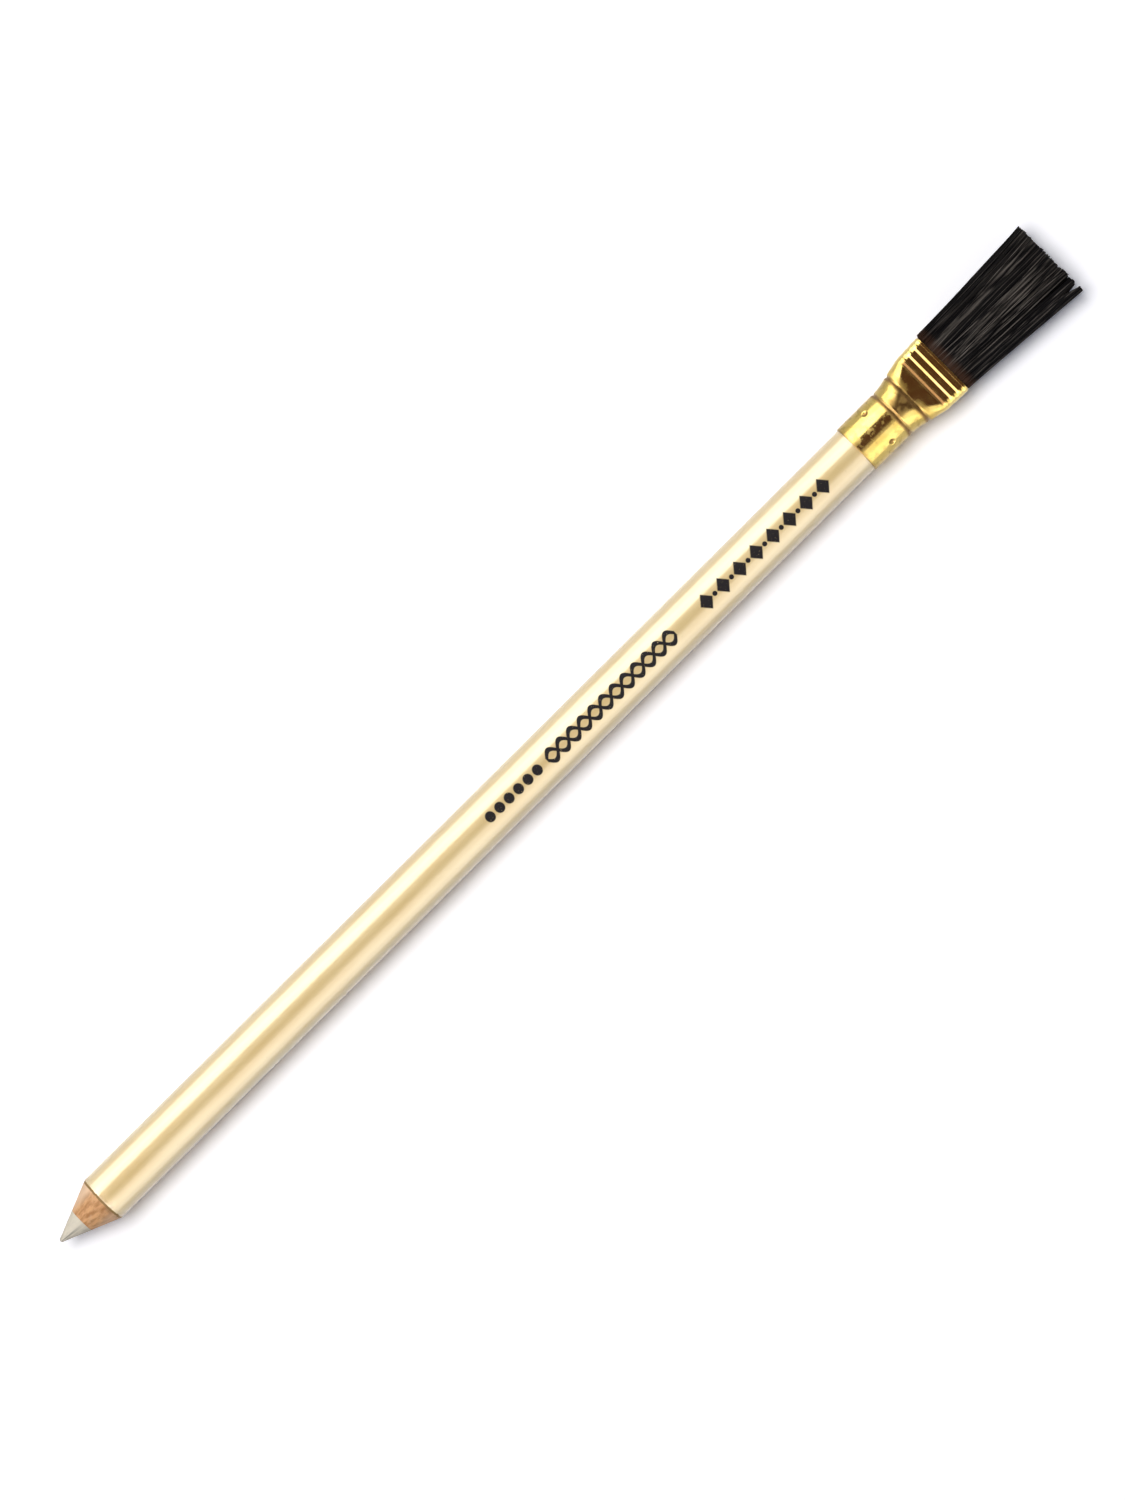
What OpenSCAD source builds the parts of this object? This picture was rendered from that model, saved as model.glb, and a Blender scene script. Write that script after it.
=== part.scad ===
// Eraser pencil with a brush: a wood-cased vinyl eraser, sharpened at one end,
// with a flat tuft of bristles in a pressed metal ferrule at the other end.
// It lies along X on the plane Z = 0, eraser tip at -X, brush at +X, flat of the brush level.

/* [Barrel] */
// Diameter over the lacquer
barrel_d = 7.5; // [6.5:0.1:9]
// Length of lacquered barrel between the sharpened cone and the ferrule
barrel_len = 150.2; // [60:0.1:180]
// Thickness of the lacquer coat
lacquer_t = 0.13; // [0.06:0.01:0.2]
// Diameter of the eraser core
core_d = 3.9; // [2:0.1:4.4]
// Film left between faces that are glued, coated or crimped together
bond_gap = 0.03; // [0.02:0.01:0.06]

/* [Sharpened end] */
// Length from the eraser's tip to the edge of the lacquer
cone_len = 8.6; // [6:0.1:16]
// Radius of the blunted eraser tip
tip_r = 0.35; // [0.2:0.05:0.6]

/* [Ferrule] */
// Length of the ferrule from its rim on the barrel to its mouth
ferrule_len = 17.3; // [15:0.1:24]
// Thickness of the ferrule's metal
wall = 0.35; // [0.2:0.05:0.4]
// How far the round tube stands proud of the lacquer
ferrule_proud = 0.2; // [0.05:0.05:0.25]
// Distance from the rim to the first rolled groove, which stops the barrel
stop_groove_x = 7.2; // [6:0.1:8]
// Distance from the first rolled groove to the second
groove_pitch = 3.1; // [2:0.1:3.5]
// Width of a rolled groove
groove_w = 0.8; // [0.5:0.1:1.2]
// Depth of a rolled groove
groove_depth = 0.18; // [0.1:0.02:0.24]
// Distance from the rim to the end of the tapered flare
flare_end_x = 13; // [12:0.1:13.4]
// Thickness over the metal where the flare ends
flare_end_t = 3.5; // [3:0.1:5]
// Thickness over the metal at the mouth
mouth_t = 2.9; // [2.4:0.1:4]
// Height of the straight stretch in each side of the flat
edge_flat = 0.72; // [0:0.04:1]
// Half length of the soft bend in which the flare begins, at the first rolled groove
flare_bend = 1; // [0.4:0.1:1.4]
// Half length of the soft bend in which the flare ends
bend_len = 0.5; // [0.2:0.1:0.8]
// Number of beads across the flat, as far as it has room for them
bead_count = 3; // [1:1:3]
// Distance from the end of the flare to the first bead
bead_start = 0.55; // [0.4:0.05:0.8]
// Distance between beads
bead_pitch = 1.28; // [1:0.02:1.3]
// Width of a bead
bead_w = 0.9; // [0.6:0.05:1]
// Height of a bead
bead_h = 0.2; // [0.1:0.02:0.3]
// How far the lip of the mouth is turned in
lip_turn = 0.1; // [0:0.05:0.2]
// Length of the turned lip
lip_len = 0.6; // [0.3:0.1:0.8]
// Number of punched dimples that hold the ferrule on the barrel
dimple_count = 4; // [2:1:6]
// Distance from the rim to the dimples
dimple_x = 4.25; // [2:0.05:5]
// Radius of the punch
dimple_r = 0.55; // [0.4:0.05:0.7]
// Depth of a dimple
dimple_depth = 0.28; // [0.15:0.02:0.34]
// Turn of the first dimple from straight up, about the pencil's axis
dimple_turn = 45; // [0:1:90]

/* [Brush] */
// Length of bristle that shows past the mouth
bristle_out = 21.4; // [12:0.1:30]
// Width of the tuft at its cut end
tuft_tip_w = 12.8; // [10:0.1:16]
// Thickness of the tuft at its cut end
tuft_tip_t = 3.1; // [2:0.1:4.5]
// Thickness of one bristle
bristle_d = 0.16; // [0.1:0.01:0.18]
// Least distance between bristles where they leave the root
bristle_pitch = 0.21; // [0.2:0.01:0.25]
// How far the shortest bristles fall short of the cut end
bristle_uneven = 0.9; // [0:0.1:2]
// Length of the bound root inside the mouth
root_len = 2; // [1.5:0.1:2.4]
// How far the face of the bound root lies inside the mouth
root_recess = 0.35; // [0.2:0.05:0.6]

/* [Hidden] */
$fn = 96;

// Radii along the barrel
barrel_r = barrel_d / 2;
core_r = core_d / 2;
casing_bore_r = core_r + bond_gap;
casing_r = barrel_r - lacquer_t - bond_gap;
coat_bore_r = barrel_r - lacquer_t;
tube_r = barrel_r + ferrule_proud;
tube_bore_r = tube_r - wall;
tenon_r = tube_bore_r - bond_gap;

// Stations along the axis, measured from the eraser's tip
rim_u = cone_len + barrel_len;
mouth_u = rim_u + ferrule_len;
total_len = mouth_u + bristle_out;
shoulder_u = rim_u - bond_gap;
tenon_end_u = rim_u + stop_groove_x - groove_w / 2 - bond_gap;

// The sharpened cone is a line from the edge of the lacquer, tangent to the round tip
tip_reach = cone_len - tip_r;
cone_angle = atan2(barrel_r, tip_reach) - asin(tip_r / norm([tip_reach, barrel_r]));
function cone_u(r) = cone_len - (barrel_r - r) / tan(cone_angle);
// Steps of the arc from the tip to the cone
tip_steps = 6;

// Ferrule stations, measured from its rim
flare_x = stop_groove_x + flare_bend;
groove_xs = [stop_groove_x, stop_groove_x + groove_pitch];
bead_room = ferrule_len - lip_len - bead_w / 2 - flare_end_x - bead_start;
beads = min(bead_count, 1 + floor(bead_room / bead_pitch));
bead_xs = [for (i = [0:beads - 1]) flare_end_x + bead_start + i * bead_pitch];

// The pressed part laps the wall of the round tube by this much on both faces where they join
seam_lap = 0.02;
// Sides of each section of the pressed part
ring_sides = 48;
// Chamfer on the outer edge of the rim
rim_chamfer = wall / 3;
// Radius of the bulge that a punch raises inside the tube
bulge_r = dimple_r + wall;

// Half thickness, corner radius and half width of the flattened tube. Pressing keeps the tube's
// girth, so each section is a rounded slot of constant perimeter whose width follows the rest.
flare_slope = (tube_r - flare_end_t / 2) / (flare_end_x - flare_x);
mouth_slope = (flare_end_t - mouth_t) / 2 / (ferrule_len - flare_end_x);
function soft_ramp(x, bend) = x < -bend ? 0 : x > bend ? x : pow(x + bend, 2) / (4 * bend);
function flared(x) = soft_ramp(x - flare_x, flare_bend);
function flattened(x) = soft_ramp(x - flare_end_x, bend_len);
function half_t(x) = tube_r - flare_slope * flared(x) + (flare_slope - mouth_slope) * flattened(x);
function half_edge(x) = edge_flat / 2 * (flared(x) - flattened(x)) / (flare_end_x - flare_x);
function corner_r(x) = half_t(x) - half_edge(x);
function half_w(x) = PI / 2 * tube_r + (2 - PI / 2) * corner_r(x) - half_t(x);

// Relief of the rolled grooves, the beads and the turned lip, as an offset of the section
function bump(x, centre, w) =
    abs(x - centre) < w / 2 ? pow(cos(180 * (x - centre) / w), 2) : 0;
function total(list) = len(list) == 0 ? 0 : list * [for (v = list) 1];
function relief(x) =
    bead_h * total([for (c = bead_xs) bump(x, c, bead_w)])
    - groove_depth * total([for (c = groove_xs) bump(x, c, groove_w)])
    - lip_turn * pow(max(0, (x - ferrule_len + lip_len) / lip_len), 2);

// One section of the flattened tube at station x, offset from its plain outer face
function section(x, offset) = let (
        c = corner_r(x), y = half_w(x) - c, z = half_t(x) - c, r = c + offset)
    [for (i = [0:ring_sides - 1]) let (a = (i + 0.5) * 360 / ring_sides)
        [x, sign(cos(a)) * y + r * cos(a), sign(sin(a)) * z + r * sin(a)]];

// Stations of the sections: even steps over each groove and bead, and over the bends and the lip
function steps(from, to, n) = [for (i = [0:n - 1]) from + (to - from) * i / n];
function over(centre, w, n) = steps(centre - w / 2, centre + w / 2, n);
second_groove = groove_xs[1];
first_bead = bead_xs[0];
last_bead = bead_xs[beads - 1];
pressed_xs = concat(
    steps(stop_groove_x, stop_groove_x + groove_w / 2, 3),
    steps(stop_groove_x + groove_w / 2, second_groove - groove_w / 2, 5),
    over(second_groove, groove_w, 6),
    steps(second_groove + groove_w / 2, flare_end_x - bend_len, 2),
    steps(flare_end_x - bend_len, first_bead - bead_w / 2, 3),
    [for (c = bead_xs) each over(c, bead_w, 6)],
    steps(last_bead + bead_w / 2, ferrule_len - lip_len, 1),
    steps(ferrule_len - lip_len, ferrule_len, 3),
    [ferrule_len]
);
// What fills the flat of the ferrule is set in by its wall and a film of glue
root_inset = wall + seam_lap + bond_gap;
// The resin's stations run from the stop groove to the bound root of the bristles
root_face_x = ferrule_len - root_recess;
root_back_x = root_face_x - root_len;
resin_xs = concat(
    steps(stop_groove_x + groove_w, second_groove - groove_w / 2, 4),
    over(second_groove, groove_w, 6),
    steps(second_groove + groove_w / 2, flare_end_x - bend_len, 2),
    steps(flare_end_x - bend_len, root_back_x - bond_gap, 4),
    [root_back_x - bond_gap]
);

// Faces of a tube of rings: sides between rings a and b, which start at points pa and pb
function band(pa, pb, n) = [for (i = [0:n - 1]) let (j = (i + 1) % n)
    each [[pa + i, pa + j, pb + j], [pa + i, pb + j, pb + i]]];
function bands(start, rings, n) =
    [for (k = [0:rings - 2]) each band(start + k * n, start + (k + 1) * n, n)];
function turned(faces) = [for (f = faces) [f[2], f[1], f[0]]];
function fan(start, n, hub) = [for (i = [0:n - 1]) [start + i, start + (i + 1) % n, hub]];

// The bristle tuft: a grid of cells over the bound root, with one bristle in each cell.
// The root is as wide and as thick as the narrower of the turned lip and the tube behind the root.
root_half_t = min(half_t(root_back_x), half_t(ferrule_len) - lip_turn) - root_inset;
root_half_w = min(half_w(root_back_x), half_w(ferrule_len) - lip_turn) - root_inset;
bristle_columns = floor(2 * root_half_w / bristle_pitch);
bristle_rows = floor(2 * root_half_t / bristle_pitch);
grid_columns = bristle_columns + 1;
grid_rows = bristle_rows + 1;
tip_x = ferrule_len + bristle_out;
// The bristles bow outwards: by their middle station they have more than its share of the spread
mid_share = 0.45;
spread_at_mid = 0.55;
bristle_mid_x = root_face_x + mid_share * (tip_x - root_face_x);
// Share of a cell by which a bristle strays from its middle
stray = 0.12;
bristle_seed = 7;
bristle_total = bristle_columns * bristle_rows;
stray_y = rands(-stray, stray, bristle_total, bristle_seed);
stray_z = rands(-stray, stray, bristle_total, bristle_seed + 1);
shortfall = rands(0, 1, bristle_total, bristle_seed + 2);
twist = rands(0, 30, bristle_total, bristle_seed + 3);
// Every fifth bristle reaches the cut end
full_length_step = 5;

// Point of the tuft's section at share u of the width and v of the thickness, each from -1 to 1
function slot_point(u, v, w, t) = [u * (w - t + sqrt(max(0, 1 - v * v)) * t), v * t];
function root_point(u, v) = slot_point(u, v, root_half_w, root_half_t);
function tip_point(u, v) = slot_point(u, v, (tuft_tip_w - bristle_d) / 2, (tuft_tip_t - bristle_d) / 2);
function grid_point(i, j) = let (p = root_point(2 * i / bristle_columns - 1, 2 * j / bristle_rows - 1))
    [root_face_x, p[0], p[1]];
// The outer columns keep to their line, so that the tuft has its stated width
function column_stray(i, k) = i == 0 || i == bristle_columns - 1 ? 0 : stray_y[k];
function bristle_uv(i, j, k) = [
    (2 * (i + 0.5 + column_stray(i, k)) / bristle_columns - 1),
    (2 * (j + 0.5 + stray_z[k]) / bristle_rows - 1)
];
// The cell's middle where the bristle leaves the root
function cell_uv(i, j) = [2 * (i + 0.5) / bristle_columns - 1, 2 * (j + 0.5) / bristle_rows - 1];
// The share u of the tip's width is stretched so that the outer bristles stand at its edge
edge_stretch = bristle_columns / (bristle_columns - 1);
function triangle(x, centre, turn) = [for (k = [0:2]) let (a = turn + 120 * k)
    [x, centre[0] + bristle_d / 2 * cos(a), centre[1] + bristle_d / 2 * sin(a)]];
// A root triangle points along +Z, and is lowered to the middle of its cell
root_turn = 90;
root_drop = [0, -bristle_d / 8];
function bristle_points(i, j) = let (
        k = i * bristle_rows + j,
        c = cell_uv(i, j),
        uv = bristle_uv(i, j, k),
        root = root_point(c[0], c[1]),
        end = tip_point(uv[0] * edge_stretch, uv[1]),
        mid = root + (end - root) * spread_at_mid,
        reach = k % full_length_step == 0 ? 0 : bristle_uneven * shortfall[k])
    concat(
        triangle(root_face_x, root + root_drop, root_turn),
        triangle(bristle_mid_x, mid, twist[k]),
        triangle(tip_x - reach, end, twist[k]));
function at_grid(i, j) = i * grid_rows + j;
function at_bristle(i, j) = grid_columns * grid_rows + (i * bristle_rows + j) * 9;
// The face of a cell round the foot of its bristle: corners in order, then the foot's three points
function cell_faces(i, j) = let (
        a = at_grid(i, j), b = at_grid(i + 1, j), c = at_grid(i + 1, j + 1), d = at_grid(i, j + 1),
        p = at_bristle(i, j), top = p, left = p + 1, right = p + 2)
    [[a, left, b], [b, left, right], [b, right, c], [c, right, top],
     [c, top, d], [d, top, left], [d, left, a]];
function bristle_faces(i, j) = let (p = at_bristle(i, j))
    concat(turned(band(p, p + 3, 3)), turned(band(p + 3, p + 6, 3)), [[p + 8, p + 7, p + 6]]);
// The rim of the grid, in order round the root, as points of the face
rim_path = concat(
    [for (i = [0:bristle_columns - 1]) at_grid(i, 0)],
    [for (j = [0:bristle_rows - 1]) at_grid(bristle_columns, j)],
    [for (i = [0:bristle_columns - 1]) at_grid(bristle_columns - i, bristle_rows)],
    [for (j = [0:bristle_rows - 1]) at_grid(0, bristle_rows - j)]
);

// Places what is drawn along +Z from the eraser's tip, or from the rim, on the pencil's axis
module on_axis(u) translate([u - total_len / 2, 0, tube_r]) children();
module turned_part(u) on_axis(u) rotate([0, 90, 0]) rotate_extrude() children();

// The punches that press the dimples, each a ball of the given radius
module punches(r) on_axis(rim_u + dimple_x)
    for (i = [0:dimple_count - 1]) rotate([-dimple_turn + i * 360 / dimple_count, 0, 0])
        translate([0, 0, tube_r - dimple_depth + dimple_r]) sphere(r);

module eraser_core() color("ivory") turned_part(0) polygon(concat(
    [for (i = [0:tip_steps]) let (a = (90 - cone_angle) * i / tip_steps) tip_r * [sin(a), 1 - cos(a)]],
    [[core_r, cone_u(core_r)], [core_r, tenon_end_u], [0, tenon_end_u]]));

// The whole casing, before it is parted along the glue line of its two slats
module casing() difference() {
    turned_part(0) polygon([
        [casing_bore_r, cone_u(casing_bore_r)], [casing_r, cone_u(casing_r)], [casing_r, shoulder_u],
        [tenon_r, shoulder_u], [tenon_r, tenon_end_u], [casing_bore_r, tenon_end_u]]);
    punches(bulge_r + bond_gap);
}
module slat(side) intersection() {
    casing();
    on_axis(0) translate([0, -barrel_d, side > 0 ? bond_gap / 2 : -barrel_d - bond_gap / 2])
        cube([total_len, 2 * barrel_d, barrel_d]);
}
module upper_slat() color("peru") slat(1);
module lower_slat() color("sandybrown") slat(-1);

module lacquer_coat() color("wheat") turned_part(0) polygon([
    [coat_bore_r, cone_u(coat_bore_r)], [barrel_r, cone_len],
    [barrel_r, shoulder_u], [coat_bore_r, shoulder_u]]);

// The round half of the ferrule, up to the middle of the stop groove
module round_tube() turned_part(rim_u) polygon(concat(
    [[tube_bore_r, 0], [tube_r - rim_chamfer, 0], [tube_r, rim_chamfer]],
    [for (x = steps(stop_groove_x - groove_w / 2, stop_groove_x, 4)) [tube_r + relief(x), x]],
    [[tube_r - groove_depth, stop_groove_x], [tube_bore_r - groove_depth, stop_groove_x]],
    [for (x = steps(stop_groove_x, stop_groove_x - groove_w / 2, 4)) if (x < stop_groove_x)
        [tube_bore_r + relief(x), x]],
    [[tube_bore_r, stop_groove_x - groove_w / 2]]));

// The pressed half of the ferrule, from the stop groove to the mouth, as one shell of sections
module pressed_tube() {
    n = ring_sides;
    m = len(pressed_xs);
    lap = seam_lap + tube_r * (1 / cos(180 / n) - 1);
    points = concat(
        [for (x = pressed_xs) each section(x, relief(x) + lap)],
        [for (x = pressed_xs) each section(x, relief(x) - wall - seam_lap)]);
    faces = concat(
        turned(bands(0, m, n)), bands(m * n, m, n),
        band(0, m * n, n), turned(band((m - 1) * n, (2 * m - 1) * n, n)));
    on_axis(rim_u) polyhedron(points, faces);
}
module ferrule() color("gold") difference() {
    union() {
        round_tube();
        intersection() {
            punches(bulge_r);
            turned_part(rim_u + dimple_x - bulge_r) square([tube_r, 2 * bulge_r]);
        }
        pressed_tube();
    }
    punches(dimple_r);
}

module setting_resin() {
    n = ring_sides;
    m = len(resin_xs);
    points = concat(
        [for (x = resin_xs) each section(x, min(0, relief(x)) - root_inset)],
        [[resin_xs[0], 0, 0], [resin_xs[m - 1], 0, 0]]);
    faces = concat(turned(bands(0, m, n)), fan(0, n, m * n),
        turned(fan((m - 1) * n, n, m * n + 1)));
    color("darkgoldenrod") on_axis(rim_u) polyhedron(points, faces);
}

module bristles() {
    n = len(rim_path);
    front = [for (i = [0:bristle_columns]) each [for (j = [0:bristle_rows]) grid_point(i, j)]];
    strands = [for (i = [0:bristle_columns - 1]) each
        [for (j = [0:bristle_rows - 1]) each bristle_points(i, j)]];
    back = [for (r = rim_path) [root_back_x, front[r][1], front[r][2]]];
    back_start = len(front) + len(strands);
    points = concat(front, strands, back, [[root_back_x, 0, 0]]);
    sides = [for (q = [0:n - 1]) let (s = (q + 1) % n) each
        [[rim_path[q], rim_path[s], back_start + s], [rim_path[q], back_start + s, back_start + q]]];
    faces = concat(
        [for (i = [0:bristle_columns - 1]) each [for (j = [0:bristle_rows - 1]) each cell_faces(i, j)]],
        [for (i = [0:bristle_columns - 1]) each [for (j = [0:bristle_rows - 1]) each bristle_faces(i, j)]],
        sides, fan(back_start, n, back_start + n));
    color("black") on_axis(rim_u) polyhedron(points, faces);
}

eraser_core();
upper_slat();
lower_slat();
lacquer_coat();
ferrule();
setting_resin();
bristles();
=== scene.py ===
"""An eraser pencil with a brush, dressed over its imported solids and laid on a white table.

Each sub-assembly is a class that holds its sizes in metres, builds its meshes and dresses them.
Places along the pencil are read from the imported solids, so every piece lies where they lie.
"""

from __future__ import annotations

import logging
import math
from dataclasses import dataclass
from enum import Enum

import bmesh
import bpy
import numpy as np
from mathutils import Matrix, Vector, noise


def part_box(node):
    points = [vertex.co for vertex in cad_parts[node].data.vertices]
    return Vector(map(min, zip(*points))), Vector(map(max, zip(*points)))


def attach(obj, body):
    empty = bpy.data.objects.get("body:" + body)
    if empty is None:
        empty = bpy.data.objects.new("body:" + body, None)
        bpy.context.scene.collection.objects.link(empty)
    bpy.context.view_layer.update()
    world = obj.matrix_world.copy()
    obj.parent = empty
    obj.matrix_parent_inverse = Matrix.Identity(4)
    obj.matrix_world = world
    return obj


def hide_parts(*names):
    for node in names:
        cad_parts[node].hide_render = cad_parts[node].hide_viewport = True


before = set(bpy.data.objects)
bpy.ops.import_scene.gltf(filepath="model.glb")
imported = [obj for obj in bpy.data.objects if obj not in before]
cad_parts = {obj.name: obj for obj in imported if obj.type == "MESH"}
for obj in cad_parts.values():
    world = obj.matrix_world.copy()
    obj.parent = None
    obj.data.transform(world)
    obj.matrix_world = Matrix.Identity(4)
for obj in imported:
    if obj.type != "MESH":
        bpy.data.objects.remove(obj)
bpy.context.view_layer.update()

MM = 0.001
BODY = "root"
STRAND_SHADE = "strand_shade"
Colour = tuple[float, float, float, float]
Span = tuple[float, float]
Face = tuple[int, ...]
log = logging.getLogger("eraser_pencil")


class Wire:
    """One output of a shader node. Arithmetic on values adds Math nodes."""

    def __init__(self, graph: Graph, socket: bpy.types.NodeSocket) -> None:
        """Hold the graph and the socket that the value comes from."""
        self.graph = graph
        self.socket = socket

    def _math(self, operation: str, first: Value, second: Value = 0.0) -> Wire:
        """Add a Math node of that operation on two values."""
        return self.graph.node("ShaderNodeMath", {"operation": operation}, {0: first, 1: second})

    def __add__(self, other: Value) -> Wire:
        """Sum of two values."""
        return self._math("ADD", self, other)

    def __sub__(self, other: Value) -> Wire:
        """Difference of two values."""
        return self._math("SUBTRACT", self, other)

    def __rsub__(self, other: Value) -> Wire:
        """Difference of a number and a value."""
        return self._math("SUBTRACT", other, self)

    def __mul__(self, other: Value) -> Wire:
        """Product of two values."""
        return self._math("MULTIPLY", self, other)

    def __truediv__(self, other: Value) -> Wire:
        """Quotient of two values."""
        return self._math("DIVIDE", self, other)

    def __rtruediv__(self, other: Value) -> Wire:
        """Quotient of a number and a value."""
        return self._math("DIVIDE", other, self)

    __radd__ = __add__
    __rmul__ = __mul__

    def __neg__(self) -> Wire:
        """The value with its sign turned."""
        return 0.0 - self

    def __abs__(self) -> Wire:
        """Size of a value without its sign."""
        return self._math("ABSOLUTE", self)

    def at_least(self, other: Value) -> Wire:
        """The larger of two values."""
        return self._math("MAXIMUM", self, other)

    def at_most(self, other: Value) -> Wire:
        """The smaller of two values."""
        return self._math("MINIMUM", self, other)

    def sine(self) -> Wire:
        """The sine of an angle."""
        return self._math("SINE", self)

    def rounded(self) -> Wire:
        """The nearest whole number."""
        return self._math("ROUND", self)

    def root(self) -> Wire:
        """The square root."""
        return self._math("SQRT", self)

    def angle_from(self, other: Value) -> Wire:
        """The angle whose tangent is this value over the other one."""
        return self._math("ARCTAN2", self, other)

    def rise(self, low: float, high: float) -> Wire:
        """A smooth step from 0 at low to 1 at high.

        Args:
            low: value at and below which the step is 0.
            high: value at and above which the step is 1.

        Returns:
            The step, from 0 to 1.
        """
        settings = {"interpolation_type": "SMOOTHSTEP"}
        return self.graph.node("ShaderNodeMapRange", settings, {0: self, 1: low, 2: high})

    def fall(self, low: float, high: float) -> Wire:
        """A smooth step from 1 at low to 0 at high."""
        return 1.0 - self.rise(low, high)


Value = Wire | float


class Graph:
    """The node tree of a material or of the world."""

    def __init__(self, tree: bpy.types.NodeTree) -> None:
        """Start from an empty tree."""
        self.tree = tree
        self.tree.nodes.clear()

    def node(
        self,
        kind: str,
        settings: dict[str, object] | None = None,
        sockets: dict[int | str, object] | None = None,
        output: int | str = 0,
    ) -> Wire:
        """Add one node.

        Args:
            kind: the node's type.
            settings: its own settings, which are set first.
            sockets: values or wires for its input sockets, by name or by place.
            output: the output that is wanted, by name or by place.

        Returns:
            That output.
        """
        made = self.tree.nodes.new(kind)
        for name, value in (settings or {}).items():
            setattr(made, name, value)
        for key, value in (sockets or {}).items():
            if isinstance(value, Wire):
                self.tree.links.new(value.socket, made.inputs[key])
            else:
                made.inputs[key].default_value = value
        return Wire(self, made.outputs[output])

    def place(self) -> Wire:
        """The point on the object, in metres in the pencil's frame."""
        return self.node("ShaderNodeTexCoord", output="Object")

    def others(self, wire: Wire, *names: int | str) -> list[Wire]:
        """Further outputs of the node that a wire comes from."""
        return [Wire(self, wire.socket.node.outputs[name]) for name in names]

    def axes(self, vector: Wire) -> tuple[Wire, Wire, Wire]:
        """The three parts of a vector."""
        first = self.node("ShaderNodeSeparateXYZ", sockets={0: vector})
        return first, *self.others(first, 1, 2)

    def rays(self) -> tuple[Wire, Wire]:
        """1 on the camera's own rays, and 1 on those by which metal and glass show something.

        Returns:
            The mask of the camera's rays, and the mask of the others.
        """
        camera = self.node("ShaderNodeLightPath", output="Is Camera Ray")
        glossy, through = self.others(camera, "Is Glossy Ray", "Is Transmission Ray")
        return camera, glossy.at_least(through)

    def stretched(self, vector: Wire, factors: tuple[float, float, float]) -> Wire:
        """A vector with each of its parts times a factor."""
        return self.node("ShaderNodeVectorMath", {"operation": "MULTIPLY"}, {0: vector, 1: factors})

    def noise(self, vector: Wire, scale: float, detail: float = 2.0) -> Wire:
        """Soft noise from 0 to 1.

        Args:
            vector: the point at which it is read.
            scale: lumps per metre.
            detail: how many finer layers are added.

        Returns:
            The noise.
        """
        sockets = {"Vector": vector, "Scale": scale, "Detail": detail}
        return self.node("ShaderNodeTexNoise", sockets=sockets)

    def streaks(self, vector: Wire, squeeze: float, scale: float, detail: float = 2.0) -> Wire:
        """Soft noise from 0 to 1, drawn out along the pencil.

        Args:
            vector: the point at which it is read.
            squeeze: lumps along the pencil, as a share of those across it.
            scale: lumps per metre across it.
            detail: how many finer layers are added.

        Returns:
            The noise.
        """
        return self.noise(self.stretched(vector, (squeeze, 1.0, 1.0)), scale, detail)

    def mix(self, share: Value, first: Wire | Colour, second: Wire | Colour) -> Wire:
        """A mix of two colours.

        Args:
            share: how much of the second colour there is, from 0 to 1.
            first: the colour at 0.
            second: the colour at 1.

        Returns:
            The mixed colour.
        """
        return self.node("ShaderNodeMix", {"data_type": "RGBA"}, {0: share, 6: first, 7: second}, 2)

    def bump(self, height: Wire, depth: float) -> Wire:
        """A normal from a height that runs from 0 to 1 over that depth in metres."""
        return self.node("ShaderNodeBump", sockets={"Distance": depth, "Height": height}, output="Normal")

    def end(self, shader: Wire, kind: str = "ShaderNodeOutputMaterial") -> None:
        """End the tree in an output node of that type."""
        made = self.tree.nodes.new(kind)
        self.tree.links.new(shader.socket, made.inputs["Surface"])


class Finish:
    """A surface finish, which makes its own node material."""

    title = "finish"

    def sockets(self, graph: Graph) -> dict[str, object]:
        """Values and wires for the sockets of the finish's Principled shader."""
        raise NotImplementedError

    def material(self) -> bpy.types.Material:
        """Make the material.

        Returns:
            The material, ready to go on a piece.
        """
        made = bpy.data.materials.new(self.title)
        made.use_nodes = True
        graph = Graph(made.node_tree)
        graph.end(graph.node("ShaderNodeBsdfPrincipled", sockets=self.sockets(graph)))
        return made


class Motif(Enum):
    """A plain printed shape."""

    DOT = "dot"
    LOZENGE = "lozenge"
    TWIST = "two strands that cross"


@dataclass(frozen=True)
class MarkRow:
    """A row of equal printed marks along the barrel, in metres, with soft edges as shares of a mark.

    The strands of a twist are as thick as a mark is long, and swing by its half width.
    """

    motif: Motif
    start: float
    pitch: float
    count: int
    half_length: float
    half_width: float
    edge: Span = (0.88, 1.06)
    strand_edge: Span = (0.8, 1.1)
    strand_end: Span = (0.0, 0.1 * MM)

    def mask(self, along: Wire, side: Wire) -> Wire:
        """Where the row is printed.

        Args:
            along: distance along the pencil.
            side: distance round the barrel from the middle line of the print.

        Returns:
            1 on the marks and 0 beside them.
        """
        if self.motif is Motif.TWIST:
            return self.twist(along, side)
        from_start = along - self.start
        turn = (from_start / self.pitch).rounded().at_least(0.0).at_most(self.count - 1.0)
        length = abs(from_start - turn * self.pitch) / self.half_length
        width = abs(side) / self.half_width
        if self.motif is Motif.DOT:
            reach = (length * length + width * width).root()
        else:
            reach = length + width
        return reach.fall(*self.edge)

    def twist(self, along: Wire, side: Wire) -> Wire:
        """Where the two strands of a twist are printed, one turn to each pitch.

        Args:
            along: distance along the pencil.
            side: distance round the barrel from the middle line of the print.

        Returns:
            1 on the strands and 0 beside them.
        """
        swing = ((along - self.start) * (math.tau / self.pitch)).sine() * self.half_width
        near = abs(side - swing).at_most(abs(side + swing)) / self.half_length
        half = self.count * self.pitch / 2
        beyond = abs(along - (self.start + half)) - half
        return near.fall(*self.strand_edge) * beyond.fall(*self.strand_end)


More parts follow.
